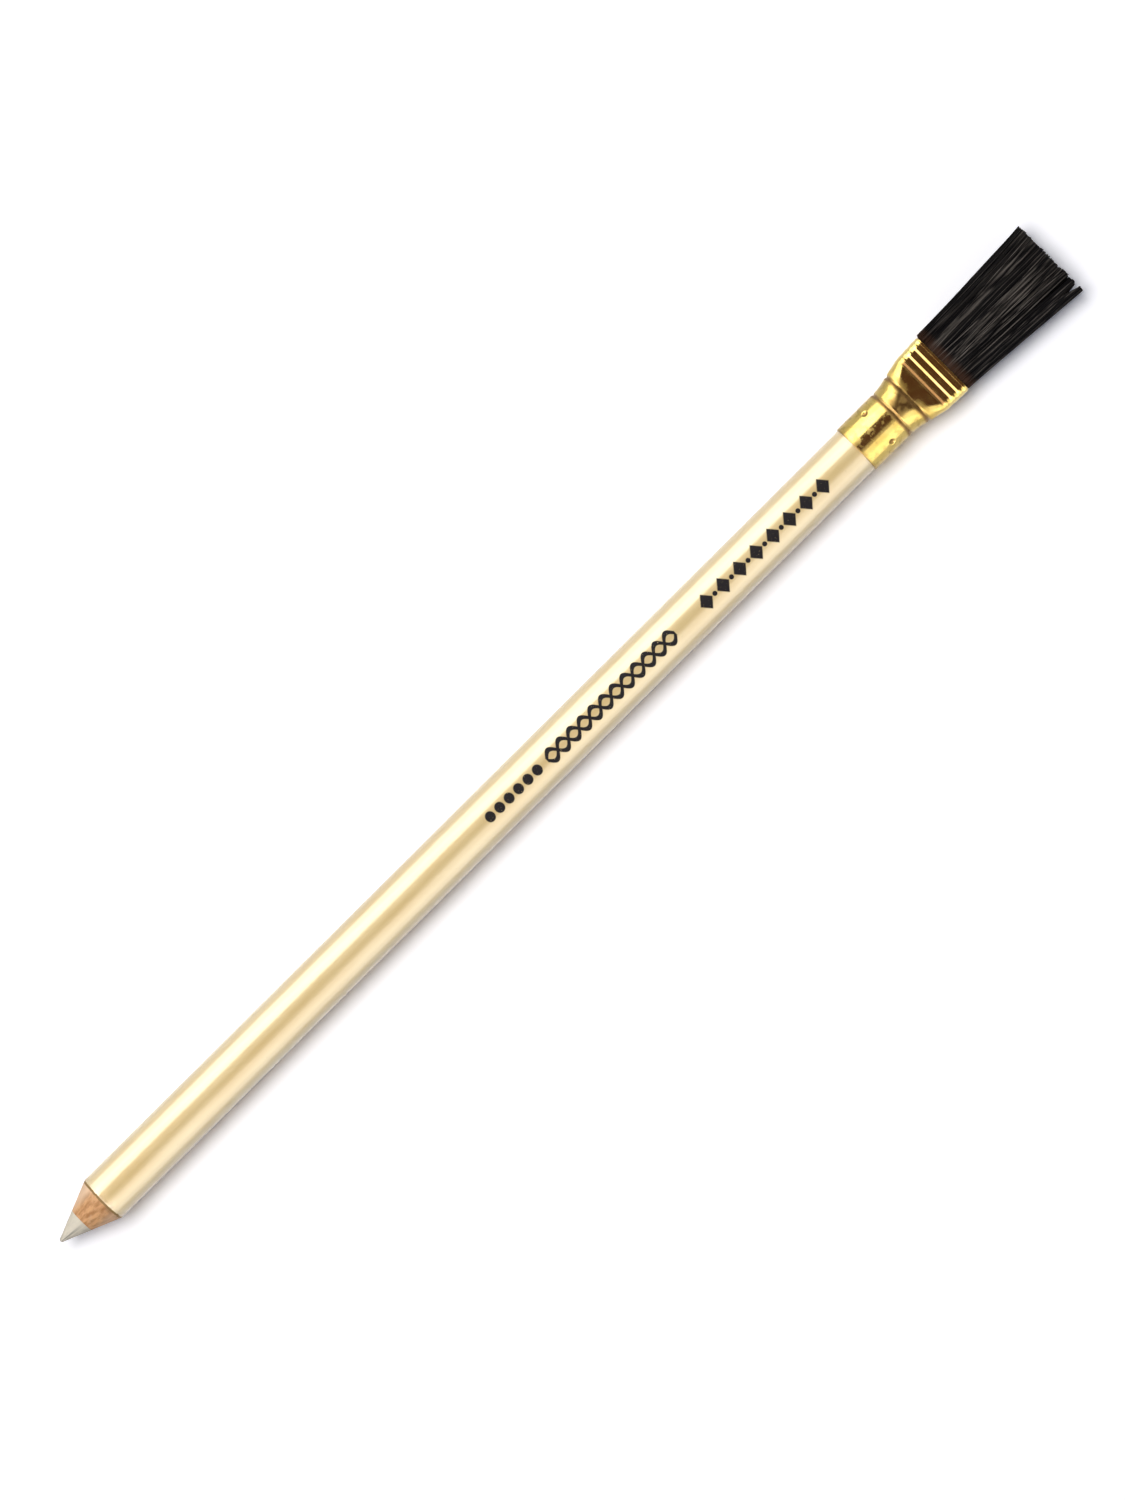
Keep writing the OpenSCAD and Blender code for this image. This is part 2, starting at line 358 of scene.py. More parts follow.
@dataclass(frozen=True)
class PearlLacquer(Finish):
    """Glossy cream lacquer with a pearl sheen and a plain black print."""

    axis_z: float
    barrel_r: float
    ends: tuple[float, float]
    print_rows: tuple[MarkRow, ...]
    title: str = "pearl_lacquer"
    cream: Colour = (0.81, 0.625, 0.30, 1.0)
    honey: Colour = (0.77, 0.565, 0.24, 1.0)
    wear_and_highlight: Colour = (0.50, 0.36, 0.17, 1.0)
    undercoat: Colour = (0.31, 0.185, 0.065, 1.0)
    ink: Colour = (0.006, 0.005, 0.005, 1.0)
    pearl: float = 0.09
    print_side: float = -0.3 * MM
    worn_front: float = 1.2 * MM
    worn_back: float = 0.5 * MM
    cut_film: Span = (0.01 * MM, 0.03 * MM)
    relief: float = 0.02 * MM

    def printed(self, along: Wire, round_top: Wire) -> Wire:
        """Where the barrel is printed, as the union of the rows.

        Args:
            along: distance along the pencil.
            round_top: distance round the barrel from the middle line of the print.

        Returns:
            1 on the print and 0 beside it.
        """
        masks = [row.mask(along, round_top) for row in self.print_rows]
        union = masks[0]
        for mask in masks[1:]:
            union = union.at_least(mask)
        return union

    def sockets(self, graph: Graph) -> dict[str, object]:
        """Cream with a slow drift of tone, worn at its ends, printed in black along the top.

        Args:
            graph: the material's node tree.

        Returns:
            Values and wires, by the name of the socket.
        """
        place = graph.place()
        along, side, height = graph.axes(place)
        above = height - self.axis_z
        round_top = side.angle_from(above) * self.barrel_r - self.print_side
        below_skin = self.barrel_r - (side * side + above * above).root()
        drift = graph.streaks(place, 0.25, 260.0, 3.0)
        dips = graph.streaks(place, 0.12, 420.0, 1.0)
        flakes = graph.noise(place, 9000.0, 1.0)
        specks = graph.noise(place, 2600.0).rise(0.70, 0.76)
        front, back = self.ends
        worn = along.fall(front, front + self.worn_front).at_least(along.rise(back - self.worn_back, back))
        worn = worn * graph.noise(place, 1500.0).rise(0.35, 0.7)
        sliced = below_skin.rise(*self.cut_film)
        ink = self.printed(along, round_top) * graph.noise(place, 5200.0).rise(0.18, 0.34)
        dull = ink.at_least(sliced)
        tone = graph.mix(drift.rise(0.3, 0.72), self.cream, self.honey)
        tone = graph.mix((worn * 0.55).at_least(specks * 0.18), tone, self.wear_and_highlight)
        tone = graph.mix(sliced * 0.95, tone, self.undercoat)
        return {
            "Base Color": graph.mix(ink, tone, self.ink),
            "Metallic": self.pearl * (1.0 - dull) * (0.8 + 0.4 * flakes),
            "Roughness": 0.30 + 0.08 * flakes + 0.25 * worn + 0.3 * dull,
            "Coat Weight": (1.0 - ink) * (1.0 - sliced),
            "Coat Roughness": 0.18,
            "Coat IOR": 2.0,
            "Specular IOR Level": 0.15,
            "Normal": graph.bump(dips + 0.04 * flakes - 0.9 * ink, self.relief),
        }


@dataclass(frozen=True)
class CutCedar(Finish):
    """Bare cedar, cut by a sharpener, with painted shade on one side in the nick at the edge of the
    lacquer.
    """

    edge: float
    title: str = "cut_cedar"
    early: Colour = (0.70, 0.37, 0.15, 1.0)
    late: Colour = (0.41, 0.175, 0.052, 1.0)
    dust: Colour = (0.76, 0.50, 0.28, 1.0)
    painted_sheen: Colour = (0.94, 0.66, 0.42, 1.0)
    nick_shade: Colour = (0.15, 0.085, 0.025, 1.0)
    far_side: Span = (1.2 * MM, 2.7 * MM)
    near_side: Span = (1.6 * MM, 2.6 * MM)
    nick_shade_side: Span = (-1.7 * MM, -1.2 * MM)
    nick_shade_back: Span = (-0.9 * MM, -0.5 * MM)
    relief: float = 0.06 * MM

    def sockets(self, graph: Graph) -> dict[str, object]:
        """Long grain with dark late wood, pores, blade ridges, some dust, painted sheen at the sides and
        shade in the nick.

        Args:
            graph: the material's node tree.

        Returns:
            Values and wires, by the name of the socket.
        """
        place = graph.place()
        along, side, _ = graph.axes(place)
        grain = graph.streaks(place, 0.10, 1500.0, 3.0)
        pores = graph.streaks(place, 0.08, 6000.0).rise(0.58, 0.72)
        cut = graph.noise(graph.stretched(place, (1.0, 0.12, 0.12)), 5200.0, 1.0)
        dusty = graph.noise(place, 900.0, 3.0).rise(0.55, 0.75)
        # Painted sheen: the cut is made lighter towards both sides, more on the far one.
        painted_sheen_share = (0.85 * side.rise(*self.far_side)).at_least(0.45 * (-side).rise(*self.near_side))
        # Painted shade in the nick just short of the lacquer's edge, on the -Y side.
        nick_shade_share = (along - self.edge).rise(*self.nick_shade_back) * side.fall(*self.nick_shade_side)
        tone = graph.mix(grain.rise(0.35, 0.68), self.early, self.late)
        tone = graph.mix(pores * 0.5, tone, self.late)
        tone = graph.mix(dusty * 0.35, tone, self.dust)
        tone = graph.mix(painted_sheen_share, tone, self.painted_sheen)
        return {
            "Base Color": graph.mix(nick_shade_share * (0.06 + 0.3 * grain), tone, self.nick_shade),
            "Roughness": 0.62 + 0.2 * grain,
            "Specular IOR Level": 0.3,
            "Normal": graph.bump(grain * 0.5 + cut * 0.5 - pores * 0.3, self.relief),
        }


@dataclass(frozen=True)
class WornVinyl(Finish):
    """Off-white eraser vinyl, worn and grey at the point, with painted shade down the side away from the
    lamp.
    """

    tip: float
    title: str = "worn_vinyl"
    fresh: Colour = (0.745, 0.67, 0.52, 1.0)
    soiled_and_shaded: Colour = (0.17, 0.16, 0.13, 1.0)
    tip_r: float = 0.2 * MM
    taper: float = 0.42
    rubbed_len: float = 2.2 * MM
    painted_streak_end: Span = (1.0 * MM, 5.5 * MM)
    relief: float = 0.08 * MM

    def sockets(self, graph: Graph) -> dict[str, object]:
        """Chalky mottling, smudges towards the point, painted shade on one side and a painted dark line at
        its edge.

        Args:
            graph: the material's node tree.

        Returns:
            Values and wires, by the name of the socket.
        """
        place = graph.place()
        along, side, _ = graph.axes(place)
        past_tip = along - self.tip
        share = side / (past_tip * self.taper + self.tip_r)
        chalk = graph.noise(place, 1800.0, 3.0)
        smear = graph.streaks(place, 0.35, 2600.0, 3.0)
        near_tip = past_tip.fall(0.0, self.rubbed_len)
        # Painted shade: darker down the side away from the lamp.
        painted_light_side = share.fall(-0.7, -0.3)
        # A painted dark line where that painted shade begins.
        painted_streak = abs(share + 0.3).fall(0.05, 0.22) * past_tip.fall(*self.painted_streak_end)
        smudge_and_shade = smear.rise(0.25, 0.70) * (0.12 + 0.4 * near_tip) + (0.02 + 0.3 * smear) * painted_light_side
        return {
            "Base Color": graph.mix(smudge_and_shade.at_least(0.75 * painted_streak), self.fresh, self.soiled_and_shaded),
            "Roughness": 0.58 + 0.25 * chalk,
            "Specular IOR Level": 0.3,
            "Normal": graph.bump(chalk * 0.6 + smear * 0.4, self.relief),
        }


@dataclass(frozen=True)
class DimpleRing:
    """Punched dimples, evenly spaced round a tube, the first turned from straight up."""

    tube_r: float
    along: float = 4.25 * MM
    count: int = 4
    turn: float = math.radians(45)
    radius: float = 0.55 * MM
    depth: float = 0.28 * MM

    @property
    def step(self) -> float:
        """Angle from one dimple to the next."""
        return math.tau / self.count

    def away(self, along: Wire, turn: Wire) -> Wire:
        """Distance over the tube to the nearest dimple.

        Args:
            along: distance from the rim.
            turn: angle about the axis from straight up.

        Returns:
            The distance.
        """
        turns = (turn - self.turn) / self.step
        round_it = (turns - turns.rounded()) * (self.step * self.tube_r)
        past_it = along - self.along
        return (round_it * round_it + past_it * past_it).root()


@dataclass(frozen=True)
class PressedBrass(Finish):
    """Bright lacquered brass with fine rubbing, tarnish, and dirt and painted shade in its grooves and
    dimples.
    """

    rim: float
    axis_z: float
    groove_xs: tuple[float, float]
    groove_w: float
    fold: float
    dimples: DimpleRing
    title: str = "pressed_brass"
    bright: Colour = (0.58, 0.435, 0.133, 1.0)
    warm: Colour = (0.52, 0.365, 0.095, 1.0)
    grime_and_shade: Colour = (0.16, 0.085, 0.03, 1.0)
    tarnish: Colour = (0.30, 0.22, 0.055, 1.0)
    wear_and_highlight: Colour = (0.70, 0.56, 0.22, 1.0)
    painted_light_side: Span = (4.4 * MM, 5.2 * MM)
    lining_shift: float = 0.2 * MM
    lining_core: float = 0.12 * MM
    pit: Span = (0.22 * MM, 0.5 * MM)
    fold_grime_and_shade: Span = (0.2 * MM, 0.55 * MM)
    fold_side: Span = (3.9 * MM, 4.5 * MM)
    rim_grime_and_shade: Span = (0.15 * MM, 0.5 * MM)
    far_flank: Span = (1.6 * MM, 3.0 * MM)
    near_flank: Span = (1.7 * MM, 3.9 * MM)
    flank_end: Span = (-4.0 * MM, -1.0 * MM)
    dull_end: Span = (-0.5 * MM, 0.5 * MM)
    smear_start: Span = (0.1 * MM, 0.4 * MM)
    smear_end: Span = (0.4 * MM, 1.5 * MM)
    smear_side: Span = (0.0, 2.2 * MM)
    stain_start: Span = (-0.1 * MM, 0.4 * MM)
    stain_end: Span = (-0.6 * MM, 0.0)
    stain_middle: float = 0.2 * MM
    stain_side: Span = (1.1 * MM, 2.0 * MM)
    relief: float = 0.003 * MM

    def lining(self, along: Wire, centre: float) -> Wire:
        """Dirt and painted shade in a groove, more on its side nearer the rim."""
        return abs(along - centre + self.lining_shift).fall(self.lining_core, self.groove_w * 0.75)

    def soiling_and_shade(self, along: Wire, side: Wire, height: Wire, patch: Wire) -> Wire:
        """Dirt and painted shade in the grooves, the dimples and the fold, and a little at the rim.

        Args:
            along: distance from the rim.
            side: distance from the axis towards the far edge of the flat.
            height: height over the table.
            patch: noise that thins the dirt and shade in the grooves.

        Returns:
            The dirt and painted shade, from 0 to 1.
        """
        first, second = (self.lining(along, centre) for centre in self.groove_xs)
        pit = self.dimples.away(along, side.angle_from(height - self.axis_z)).fall(*self.pit)
        fold = abs(along - self.fold).fall(*self.fold_grime_and_shade) * abs(side).fall(*self.fold_side)
        rim = along.fall(*self.rim_grime_and_shade)
        grooves = first.at_least(second) * (0.7 + 0.3 * patch)
        return grooves.at_least(0.9 * pit).at_least(0.9 * fold).at_least(0.4 * rim)

    def flanks(self, along: Wire, side: Wire) -> Wire:
        """Darker colour down both flanks of the round stretch, more on the far one."""
        both = (1.2 * side.rise(*self.far_flank)).at_least((-side).rise(*self.near_flank))
        return both * (along - self.fold).fall(*self.flank_end)

    def smear(self, along: Wire, side: Wire) -> Wire:
        """A dull smear on the flare, just past the second groove."""
        past = along - self.groove_xs[1]
        return past.rise(*self.smear_start) * past.fall(*self.smear_end) * abs(side).rise(*self.smear_side)

    def stain(self, along: Wire, side: Wire) -> Wire:
        """A brown stain between the grooves.

        Args:
            along: distance from the rim.
            side: distance from the axis towards the far edge of the flat.

        Returns:
            The stain, from 0 to 1.
        """
        first, second = self.groove_xs
        between = (along - first).rise(*self.stain_start) * (along - second).fall(*self.stain_end)
        return between * abs(side - self.stain_middle).fall(*self.stain_side)

    def sockets(self, graph: Graph) -> dict[str, object]:
        """Patchy yellow metal scuffed round the tube, dirt and painted shade in hollows, a painted
        highlight at its edges.

        Args:
            graph: the material's node tree.

        Returns:
            Values and wires, by the name of the socket.
        """
        place = graph.place()
        along, side, height = graph.axes(place)
        along = along - self.rim
        patch = graph.noise(place, 420.0, 3.0)
        blotch = graph.noise(place, 1100.0, 3.0).rise(0.46, 0.68)
        scuff = graph.noise(graph.stretched(place, (1.0, 0.10, 0.10)), 7000.0)
        rub = graph.streaks(place, 0.10, 7000.0)
        soiled_and_shaded = self.soiling_and_shade(along, side, height, patch)
        stain = self.stain(along, side)
        # Tarnish in blotches, and a darker colour down the flanks.
        tarnish_and_dark_flanks = (0.3 * blotch).at_least(self.flanks(along, side) * (0.35 + 0.5 * blotch))
        dull = (0.08 + 0.16 * (along - self.groove_xs[1]).fall(*self.dull_end)) * blotch
        dull = dull + 0.3 * self.smear(along, side) + 0.12 * stain
        tone = graph.mix(patch.rise(0.35, 0.7), self.bright, self.warm)
        tone = graph.mix(tarnish_and_dark_flanks, tone, self.tarnish)
        tone = graph.mix(stain * (0.5 + 0.3 * patch), tone, self.grime_and_shade)
        # Painted highlight: lighter brass along the rounded edges of the flat.
        tone = graph.mix(abs(side).rise(*self.painted_light_side), tone, self.wear_and_highlight)
        return {
            # Dirt and painted shade in the grooves, dimples, fold and at the rim.
            "Base Color": graph.mix(soiled_and_shaded, tone, self.grime_and_shade),
            "Metallic": 1.0,
            "Roughness": 0.11 + 0.07 * scuff + 0.05 * rub + 0.25 * soiled_and_shaded + dull,
            "Normal": graph.bump(scuff * 0.5 + rub * 0.5, self.relief),
        }


@dataclass(frozen=True)
class BlackBristle(Finish):
    """Black bristle with painted highlights by strand, brown at the mouth with glue and a painted
    reflection.
    """

    mouth: float
    title: str = "black_bristle"
    black: Colour = (0.002, 0.0018, 0.002, 1.0)
    grey: Colour = (0.125, 0.108, 0.092, 1.0)
    glued: Colour = (0.06, 0.028, 0.016, 1.0)
    glue_end: Span = (0.4 * MM, 2.0 * MM)
    relief: float = 0.01 * MM

    def sockets(self, graph: Graph) -> dict[str, object]:
        """Shade by strand in long painted highlight streaks, a little glue and a painted reflection at the
        mouth.

        Args:
            graph: the material's node tree.

        Returns:
            Values and wires, by the name of the socket.
        """
        place = graph.place()
        along, _, _ = graph.axes(place)
        strand = graph.node("ShaderNodeAttribute", {"attribute_name": STRAND_SHADE}, output="Fac")
        painted_streak = graph.streaks(place, 0.06, 3200.0)
        # Painted highlights: grey shades on some strands, broken into long streaks.
        shade = strand.rise(0.15, 0.70) * painted_streak.rise(0.38, 0.62)
        # Brown near the mouth: glue and a painted reflection of the brass.
        glue = (along - self.mouth).fall(*self.glue_end)
        tone = graph.mix(shade, self.black, self.grey)
        return {
            "Base Color": graph.mix(glue * 0.75, tone, self.glued),
            "Roughness": 0.45 + 0.2 * painted_streak,
            "Specular IOR Level": 0.04,
            "Normal": graph.bump(painted_streak, self.relief),
        }


@dataclass(frozen=True)
class SetResin(Finish):
    """Amber cement, set in the ferrule behind the bristles."""

    title: str = "set_resin"
    amber: Colour = (0.42, 0.24, 0.09, 1.0)
    cloudy: Colour = (0.56, 0.40, 0.22, 1.0)
    relief: float = 0.05 * MM

    def sockets(self, graph: Graph) -> dict[str, object]:
        """Cloudy amber with small bubbles.

        Args:
            graph: the material's node tree.

        Returns:
            Values and wires, by the name of the socket.
        """
        place = graph.place()
        cloud = graph.noise(place, 700.0, 3.0)
        bubbles = graph.noise(place, 4000.0, 1.0).rise(0.62, 0.7)
        return {
            "Base Color": graph.mix(cloud.rise(0.3, 0.7), self.amber, self.cloudy),
            "Roughness": 0.35 + 0.3 * cloud,
            "Normal": graph.bump(cloud - 0.5 * bubbles, self.relief),
        }


@dataclass(frozen=True)
class Stations:
    """Places along the pencil in metres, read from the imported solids."""

    tip: float
    core_end: float
    shoulder: float
    rim: float
    mouth: float
    root_back: float
    brush_end: float
    axis_z: float

    @classmethod
    def from_frame(cls) -> Stations:
        """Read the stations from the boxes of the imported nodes.

        Returns:
            The stations.
        """
        core_low, core_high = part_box("eraser_core")
        tuft_low, tuft_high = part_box("bristles")
        tube_low, tube_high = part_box("ferrule")
        return cls(
            tip=core_low.x,
            core_end=core_high.x,
            shoulder=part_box("lacquer_coat")[1].x,
            rim=tube_low.x,
            mouth=tube_high.x,
            root_back=tuft_low.x,
            brush_end=tuft_high.x,
            axis_z=(core_low.z + core_high.z) / 2,
        )


@dataclass(frozen=True)
class SharpenedCone:
    """The cone that a sharpener leaves: a line from the edge of the lacquer, tangent to a round tip."""

    length: float = 8.6 * MM
    barrel_r: float = 3.75 * MM
    tip_r: float = 0.35 * MM

    @property
    def angle(self) -> float:
        """Angle between the cone and the pencil's axis."""
        reach = self.length - self.tip_r
        return math.atan2(self.barrel_r, reach) - math.asin(self.tip_r / math.hypot(reach, self.barrel_r))

    def along(self, radius: float) -> float:
        """Distance from the tip at which the cone has that radius."""
        return self.length - (self.barrel_r - radius) / math.tan(self.angle)


def ring_faces(rings: int, sides: int, wraps: bool) -> list[Face]:
    """Quads between neighbouring rings of points.

    Args:
        rings: number of rings, laid end to end, each with the same number of points.
        sides: number of points in a ring.
        wraps: whether the last ring joins the first, as round the wall of a tube.

    Returns:
        The faces, as places in the list of points.
    """
    faces = []
    for k in range(rings if wraps else rings - 1):
        here, there = k * sides, (k + 1) % rings * sides
        for i in range(sides):
            j = (i + 1) % sides
            faces.append((here + i, here + j, there + j, there + i))
    return faces


def make_mesh(name: str, points: np.ndarray, faces: list[Face], crease: float = 40.0) -> bpy.types.Object:
    """Make an object from points and faces.

    Args:
        name: name of the object.
        points: its points, one row each, in metres.
        faces: its faces, as places in the list of points.
        crease: angle in degrees above which an edge stays sharp.

    Returns:
        The object, in the scene, shaded smooth with its normals outwards.
    """
    mesh = bpy.data.meshes.new(name)
    mesh.from_pydata(points.tolist(), [], faces)
    shape = bmesh.new()
    shape.from_mesh(mesh)
    bmesh.ops.recalc_face_normals(shape, faces=shape.faces)
    shape.to_mesh(mesh)
    shape.free()
    mesh.shade_smooth()
    mesh.set_sharp_from_angle(angle=math.radians(crease))
    made = bpy.data.objects.new(name, mesh)
    bpy.context.scene.collection.objects.link(made)
    return made


def seat(piece: bpy.types.Object, node: str, finish: Finish) -> None:
    """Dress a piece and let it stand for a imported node.

    Args:
        piece: the piece, already in its place.
        node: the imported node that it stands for.
        finish: its surface finish.
    """
    piece.data.materials.append(finish.material())
    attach(piece, BODY)
    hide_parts(node)
    log.info("%s stands for %s with %d faces", piece.name, node, len(piece.data.polygons))


def lumps(points: np.ndarray, scale: float) -> np.ndarray:
    """Smooth noise from about -1 to 1 at each point.

    Args:
        points: the points, one row each, in metres.
        scale: lumps per metre.

    Returns:
        One value for each point.
    """
    return np.array([noise.noise(Vector(p) * scale) for p in points])


@dataclass
class EraserRod:
    """The vinyl core, from its worn point to the end of the casing's tenon."""

    stations: Stations
    cone: SharpenedCone
    radius: float = 1.95 * MM
    tip_rings: int = 12
    cone_rings: int = 44
    sides: int = 128
    collar: float = 0.2 * MM
    wear: float = 0.035 * MM
    wear_scales: tuple[float, float] = (900.0, 2600.0)

    def profile(self) -> list[tuple[float, float]]:
        """Distances from the tip and radii of the rings, from the point to the far end.

        Returns:
            A distance and a radius for each ring.
        """
        cone, far = self.cone, self.stations.core_end - self.stations.tip
        swing = math.pi / 2 - cone.angle
        arc = [swing * (k + 1) / self.tip_rings for k in range(self.tip_rings)]
        rings = [(cone.tip_r * (1 - math.cos(a)), cone.tip_r * math.sin(a)) for a in arc]
        start = rings[-1][1]
        for k in range(1, self.cone_rings + 1):
            r = start + (self.radius - start) * k / self.cone_rings
            rings.append((cone.along(r), r))
        return rings + [(rings[-1][0] + self.collar, self.radius), (far, self.radius)]

    def build(self) -> bpy.types.Object:
        """Turn the profile about the axis, and wear the sharpened part unevenly.

        Returns:
            The rod.
        """
        rings = self.profile()
        angle = np.arange(self.sides) * math.tau / self.sides
        x = np.array([u for u, _ in rings])[:, None] + 0 * angle
        r = np.array([q for _, q in rings])[:, None] + 0 * angle
        y, z = r * np.cos(angle), r * np.sin(angle)
        points = np.stack([x, y, z], axis=-1).reshape(-1, 3)
        ground = self.cone.along(self.radius)
        fade = np.clip((ground - points[:, 0]) / ground, 0, 1)
        broad, fine = (lumps(points, scale) for scale in self.wear_scales)
        wear = self.wear * fade * (broad + 0.6 * fine - 0.5)
        size = np.maximum(np.hypot(points[:, 1], points[:, 2]), 1e-9)
        points[:, 1:] *= np.maximum(0.5, 1 + wear / size)[:, None]
        poles = np.array([[0.0, 0.0, 0.0], [rings[-1][0], 0.0, 0.0]])
        points = np.concatenate([points, poles])
        points += (self.stations.tip, 0.0, self.stations.axis_z)
        n, m = self.sides, len(rings)
        faces = ring_faces(m, n, wraps=False)
        for i in range(n):
            j = (i + 1) % n
            faces.append((j, i, m * n))
            faces.append(((m - 1) * n + i, (m - 1) * n + j, m * n + 1))
        return make_mesh("eraser_rod", points, faces)

    def dress(self) -> None:
        """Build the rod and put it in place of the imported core."""
        seat(self.build(), "eraser_core", WornVinyl(self.stations.tip))


class Side(Enum):
    """Which of the two slats of the casing."""

    UPPER = 1
    LOWER = -1


@dataclass
class Casing:
    """The two cedar slats round the core, glued at the level of the axis, sharpened as one."""

    stations: Stations
    cone: SharpenedCone
    bore_r: float = 1.98 * MM
    outer_r: float = 3.59 * MM
    tenon_r: float = 3.57 * MM
    glue_gap: float = 0.03 * MM
    cone_rings: int = 40
    steps: int = 96
    ridge: float = 0.012 * MM
    ridge_pitch: float = 0.21 * MM
    nick_depth: float = 0.35 * MM
    nick_len: float = 0.55 * MM
    nick_turn: float = math.radians(34)
    nick_spread: float = math.radians(13)

    def profile(self) -> np.ndarray:
        """The casing's section as a closed loop of distances from the tip and radii.

        Returns:
            One row for each point of the loop.
        """
        radii = np.linspace(self.bore_r, self.outer_r, self.cone_rings)
        cut = [(self.cone.along(r), r) for r in radii]
        shoulder = self.stations.shoulder - self.stations.tip
        end = self.stations.core_end - self.stations.tip
        rest = [(shoulder, self.outer_r), (shoulder, self.tenon_r), (end, self.tenon_r), (end, self.bore_r)]
        return np.array(cut + rest)

    def cut_relief(self, u: np.ndarray, angle: np.ndarray) -> np.ndarray:
        """How far the cut lies below the true cone: blade ridges, and a nick below the lacquer's edge.

        Args:
            u: distances from the tip of the points on the cut.
            angle: turn of the row of points about the axis, from straight up towards -Y.

        Returns:
            The depth at each point.
        """
        ridges = self.ridge * (1 + np.sin(u / self.ridge_pitch * math.tau + 2.0 * np.sin(3 * angle)))
        edge = self.cone.along(self.outer_r)
        near = np.clip(1 - (edge - u) / self.nick_len, 0, 1)
        turn = np.clip(1 - abs(angle - self.nick_turn) / self.nick_spread, 0, 1)
        return ridges + self.nick_depth * near * turn**0.5

    def build(self, side: Side) -> bpy.types.Object:
        """Turn the section through half a circle on that side of the glue line.

        Args:
            side: the upper or the lower slat.

        Returns:
            The slat.
        """
        loop = self.profile()
        angle = np.linspace(0, math.pi, self.steps + 1)[:, None]
        u = loop[:, 0] + 0 * angle
        r = loop[:, 1] + 0 * angle
        cut = np.arange(len(loop)) < self.cone_rings
        r = r - np.where(cut, self.cut_relief(u, angle - math.pi / 2 * side.value), 0.0)
        y = r * np.cos(angle)
        z = np.maximum(r * np.sin(angle), self.glue_gap / 2) * side.value
        points = np.stack([u, y, z], axis=-1).reshape(-1, 3)
        points += (self.stations.tip, 0.0, self.stations.axis_z)
        n = len(loop)
        faces = ring_faces(self.steps + 1, n, wraps=False)
        faces.append(tuple(range(n)))
        faces.append(tuple(self.steps * n + i for i in range(n)))
        return make_mesh(f"{side.name.lower()}_cedar_slat", points, faces)

    def dress(self) -> None:
        """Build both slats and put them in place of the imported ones."""
        edge = self.stations.tip + self.cone.length
        for side in Side:
            seat(self.build(side), f"{side.name.lower()}_slat", CutCedar(edge))


@dataclass
class LacquerCoat:
    """The lacquer round the casing, chipped where the sharpener cut it, with a print on top."""

    stations: Stations
    cone: SharpenedCone
    bore_r: float = 3.62 * MM
    sides: int = 224
    long_rings: int = 72
    edge_round: float = 0.03 * MM
    sag: float = 0.005 * MM
    sag_scale: float = 420.0
    chip: float = 0.20 * MM
    chip_fade: float = 2.0 * MM
    chip_scales: tuple[float, float] = (9.0, 2.4)

    def print_rows(self) -> tuple[MarkRow, ...]:
        """The plain print along the top: dots, then a twist, then lozenges with points between.

        Returns:
            The rows, from the eraser towards the brush.
        """
        return (
            MarkRow(Motif.DOT, -13.2 * MM, 1.87 * MM, 6, 0.78 * MM, 0.85 * MM),
            MarkRow(Motif.TWIST, -1.9 * MM, 4.24 * MM, 6, 0.41 * MM, 0.95 * MM),
            MarkRow(Motif.LOZENGE, 29.8 * MM, 3.3 * MM, 8, 1.2 * MM, 1.45 * MM),
            MarkRow(Motif.DOT, 31.45 * MM, 3.3 * MM, 7, 0.38 * MM, 0.38 * MM),
        )

    def chips(self, angle: np.ndarray) -> np.ndarray:
        """How far the front edge is broken back at each turn about the axis.

        Args:
            angle: turns about the axis.

        Returns:
            The depth of the break at each turn.
        """
        ring = np.stack([np.cos(angle), np.sin(angle), 0 * angle], axis=-1)
        fine, coarse = self.chip_scales
        small = np.clip(lumps(ring, fine), 0, 1)
        large = np.clip(lumps(ring + 5.0, coarse) - 0.12, 0, 1)
        return self.chip * (0.5 * small + 1.1 * large)

    def build(self) -> bpy.types.Object:
        """Turn the coat's section about the axis, with its broken front edge.

        Returns:
            The coat.
        """
        barrel_r = self.cone.barrel_r
        end = self.stations.shoulder - self.stations.tip
        front = self.cone.along(barrel_r)
        lip = self.edge_round
        outer = [(front + lip * 0.3, barrel_r - lip * 0.7), (front + lip, barrel_r - lip * 0.2)]
        outer += [(x, barrel_r) for x in np.linspace(front + lip * 2, end, self.long_rings + 1)]
        loop = np.array([(self.cone.along(self.bore_r), self.bore_r), *outer, (end, self.bore_r)])
        angle = (np.arange(self.sides) * math.tau / self.sides)[:, None]
        u = loop[:, 0] + 0 * angle
        r = loop[:, 1] + 0 * angle
        at_front = np.clip(1 - (u - front) / self.chip_fade, 0, 1)
        u = u + self.chips(angle[:, 0])[:, None] * at_front
        points = np.stack([u, r * np.cos(angle), r * np.sin(angle)], axis=-1)
        skin = (r > barrel_r - MM * 0.001) & (u > front + MM)
        sag = self.sag * lumps(points.reshape(-1, 3) * (0.12, 1, 1), self.sag_scale).reshape(u.shape)
        points[..., 1:] *= (1 - np.where(skin, np.abs(sag), 0.0) / r)[..., None]
        points = points.reshape(-1, 3) + (self.stations.tip, 0.0, self.stations.axis_z)
        return make_mesh("lacquer_skin", points, ring_faces(self.sides, len(loop), wraps=True))

    def dress(self) -> None:
        """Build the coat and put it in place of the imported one."""
        front = self.stations.tip + self.cone.length
        ends = (front, self.stations.shoulder)
        finish = PearlLacquer(self.stations.axis_z, self.cone.barrel_r, ends, self.print_rows())
        seat(self.build(), "lacquer_coat", finish)


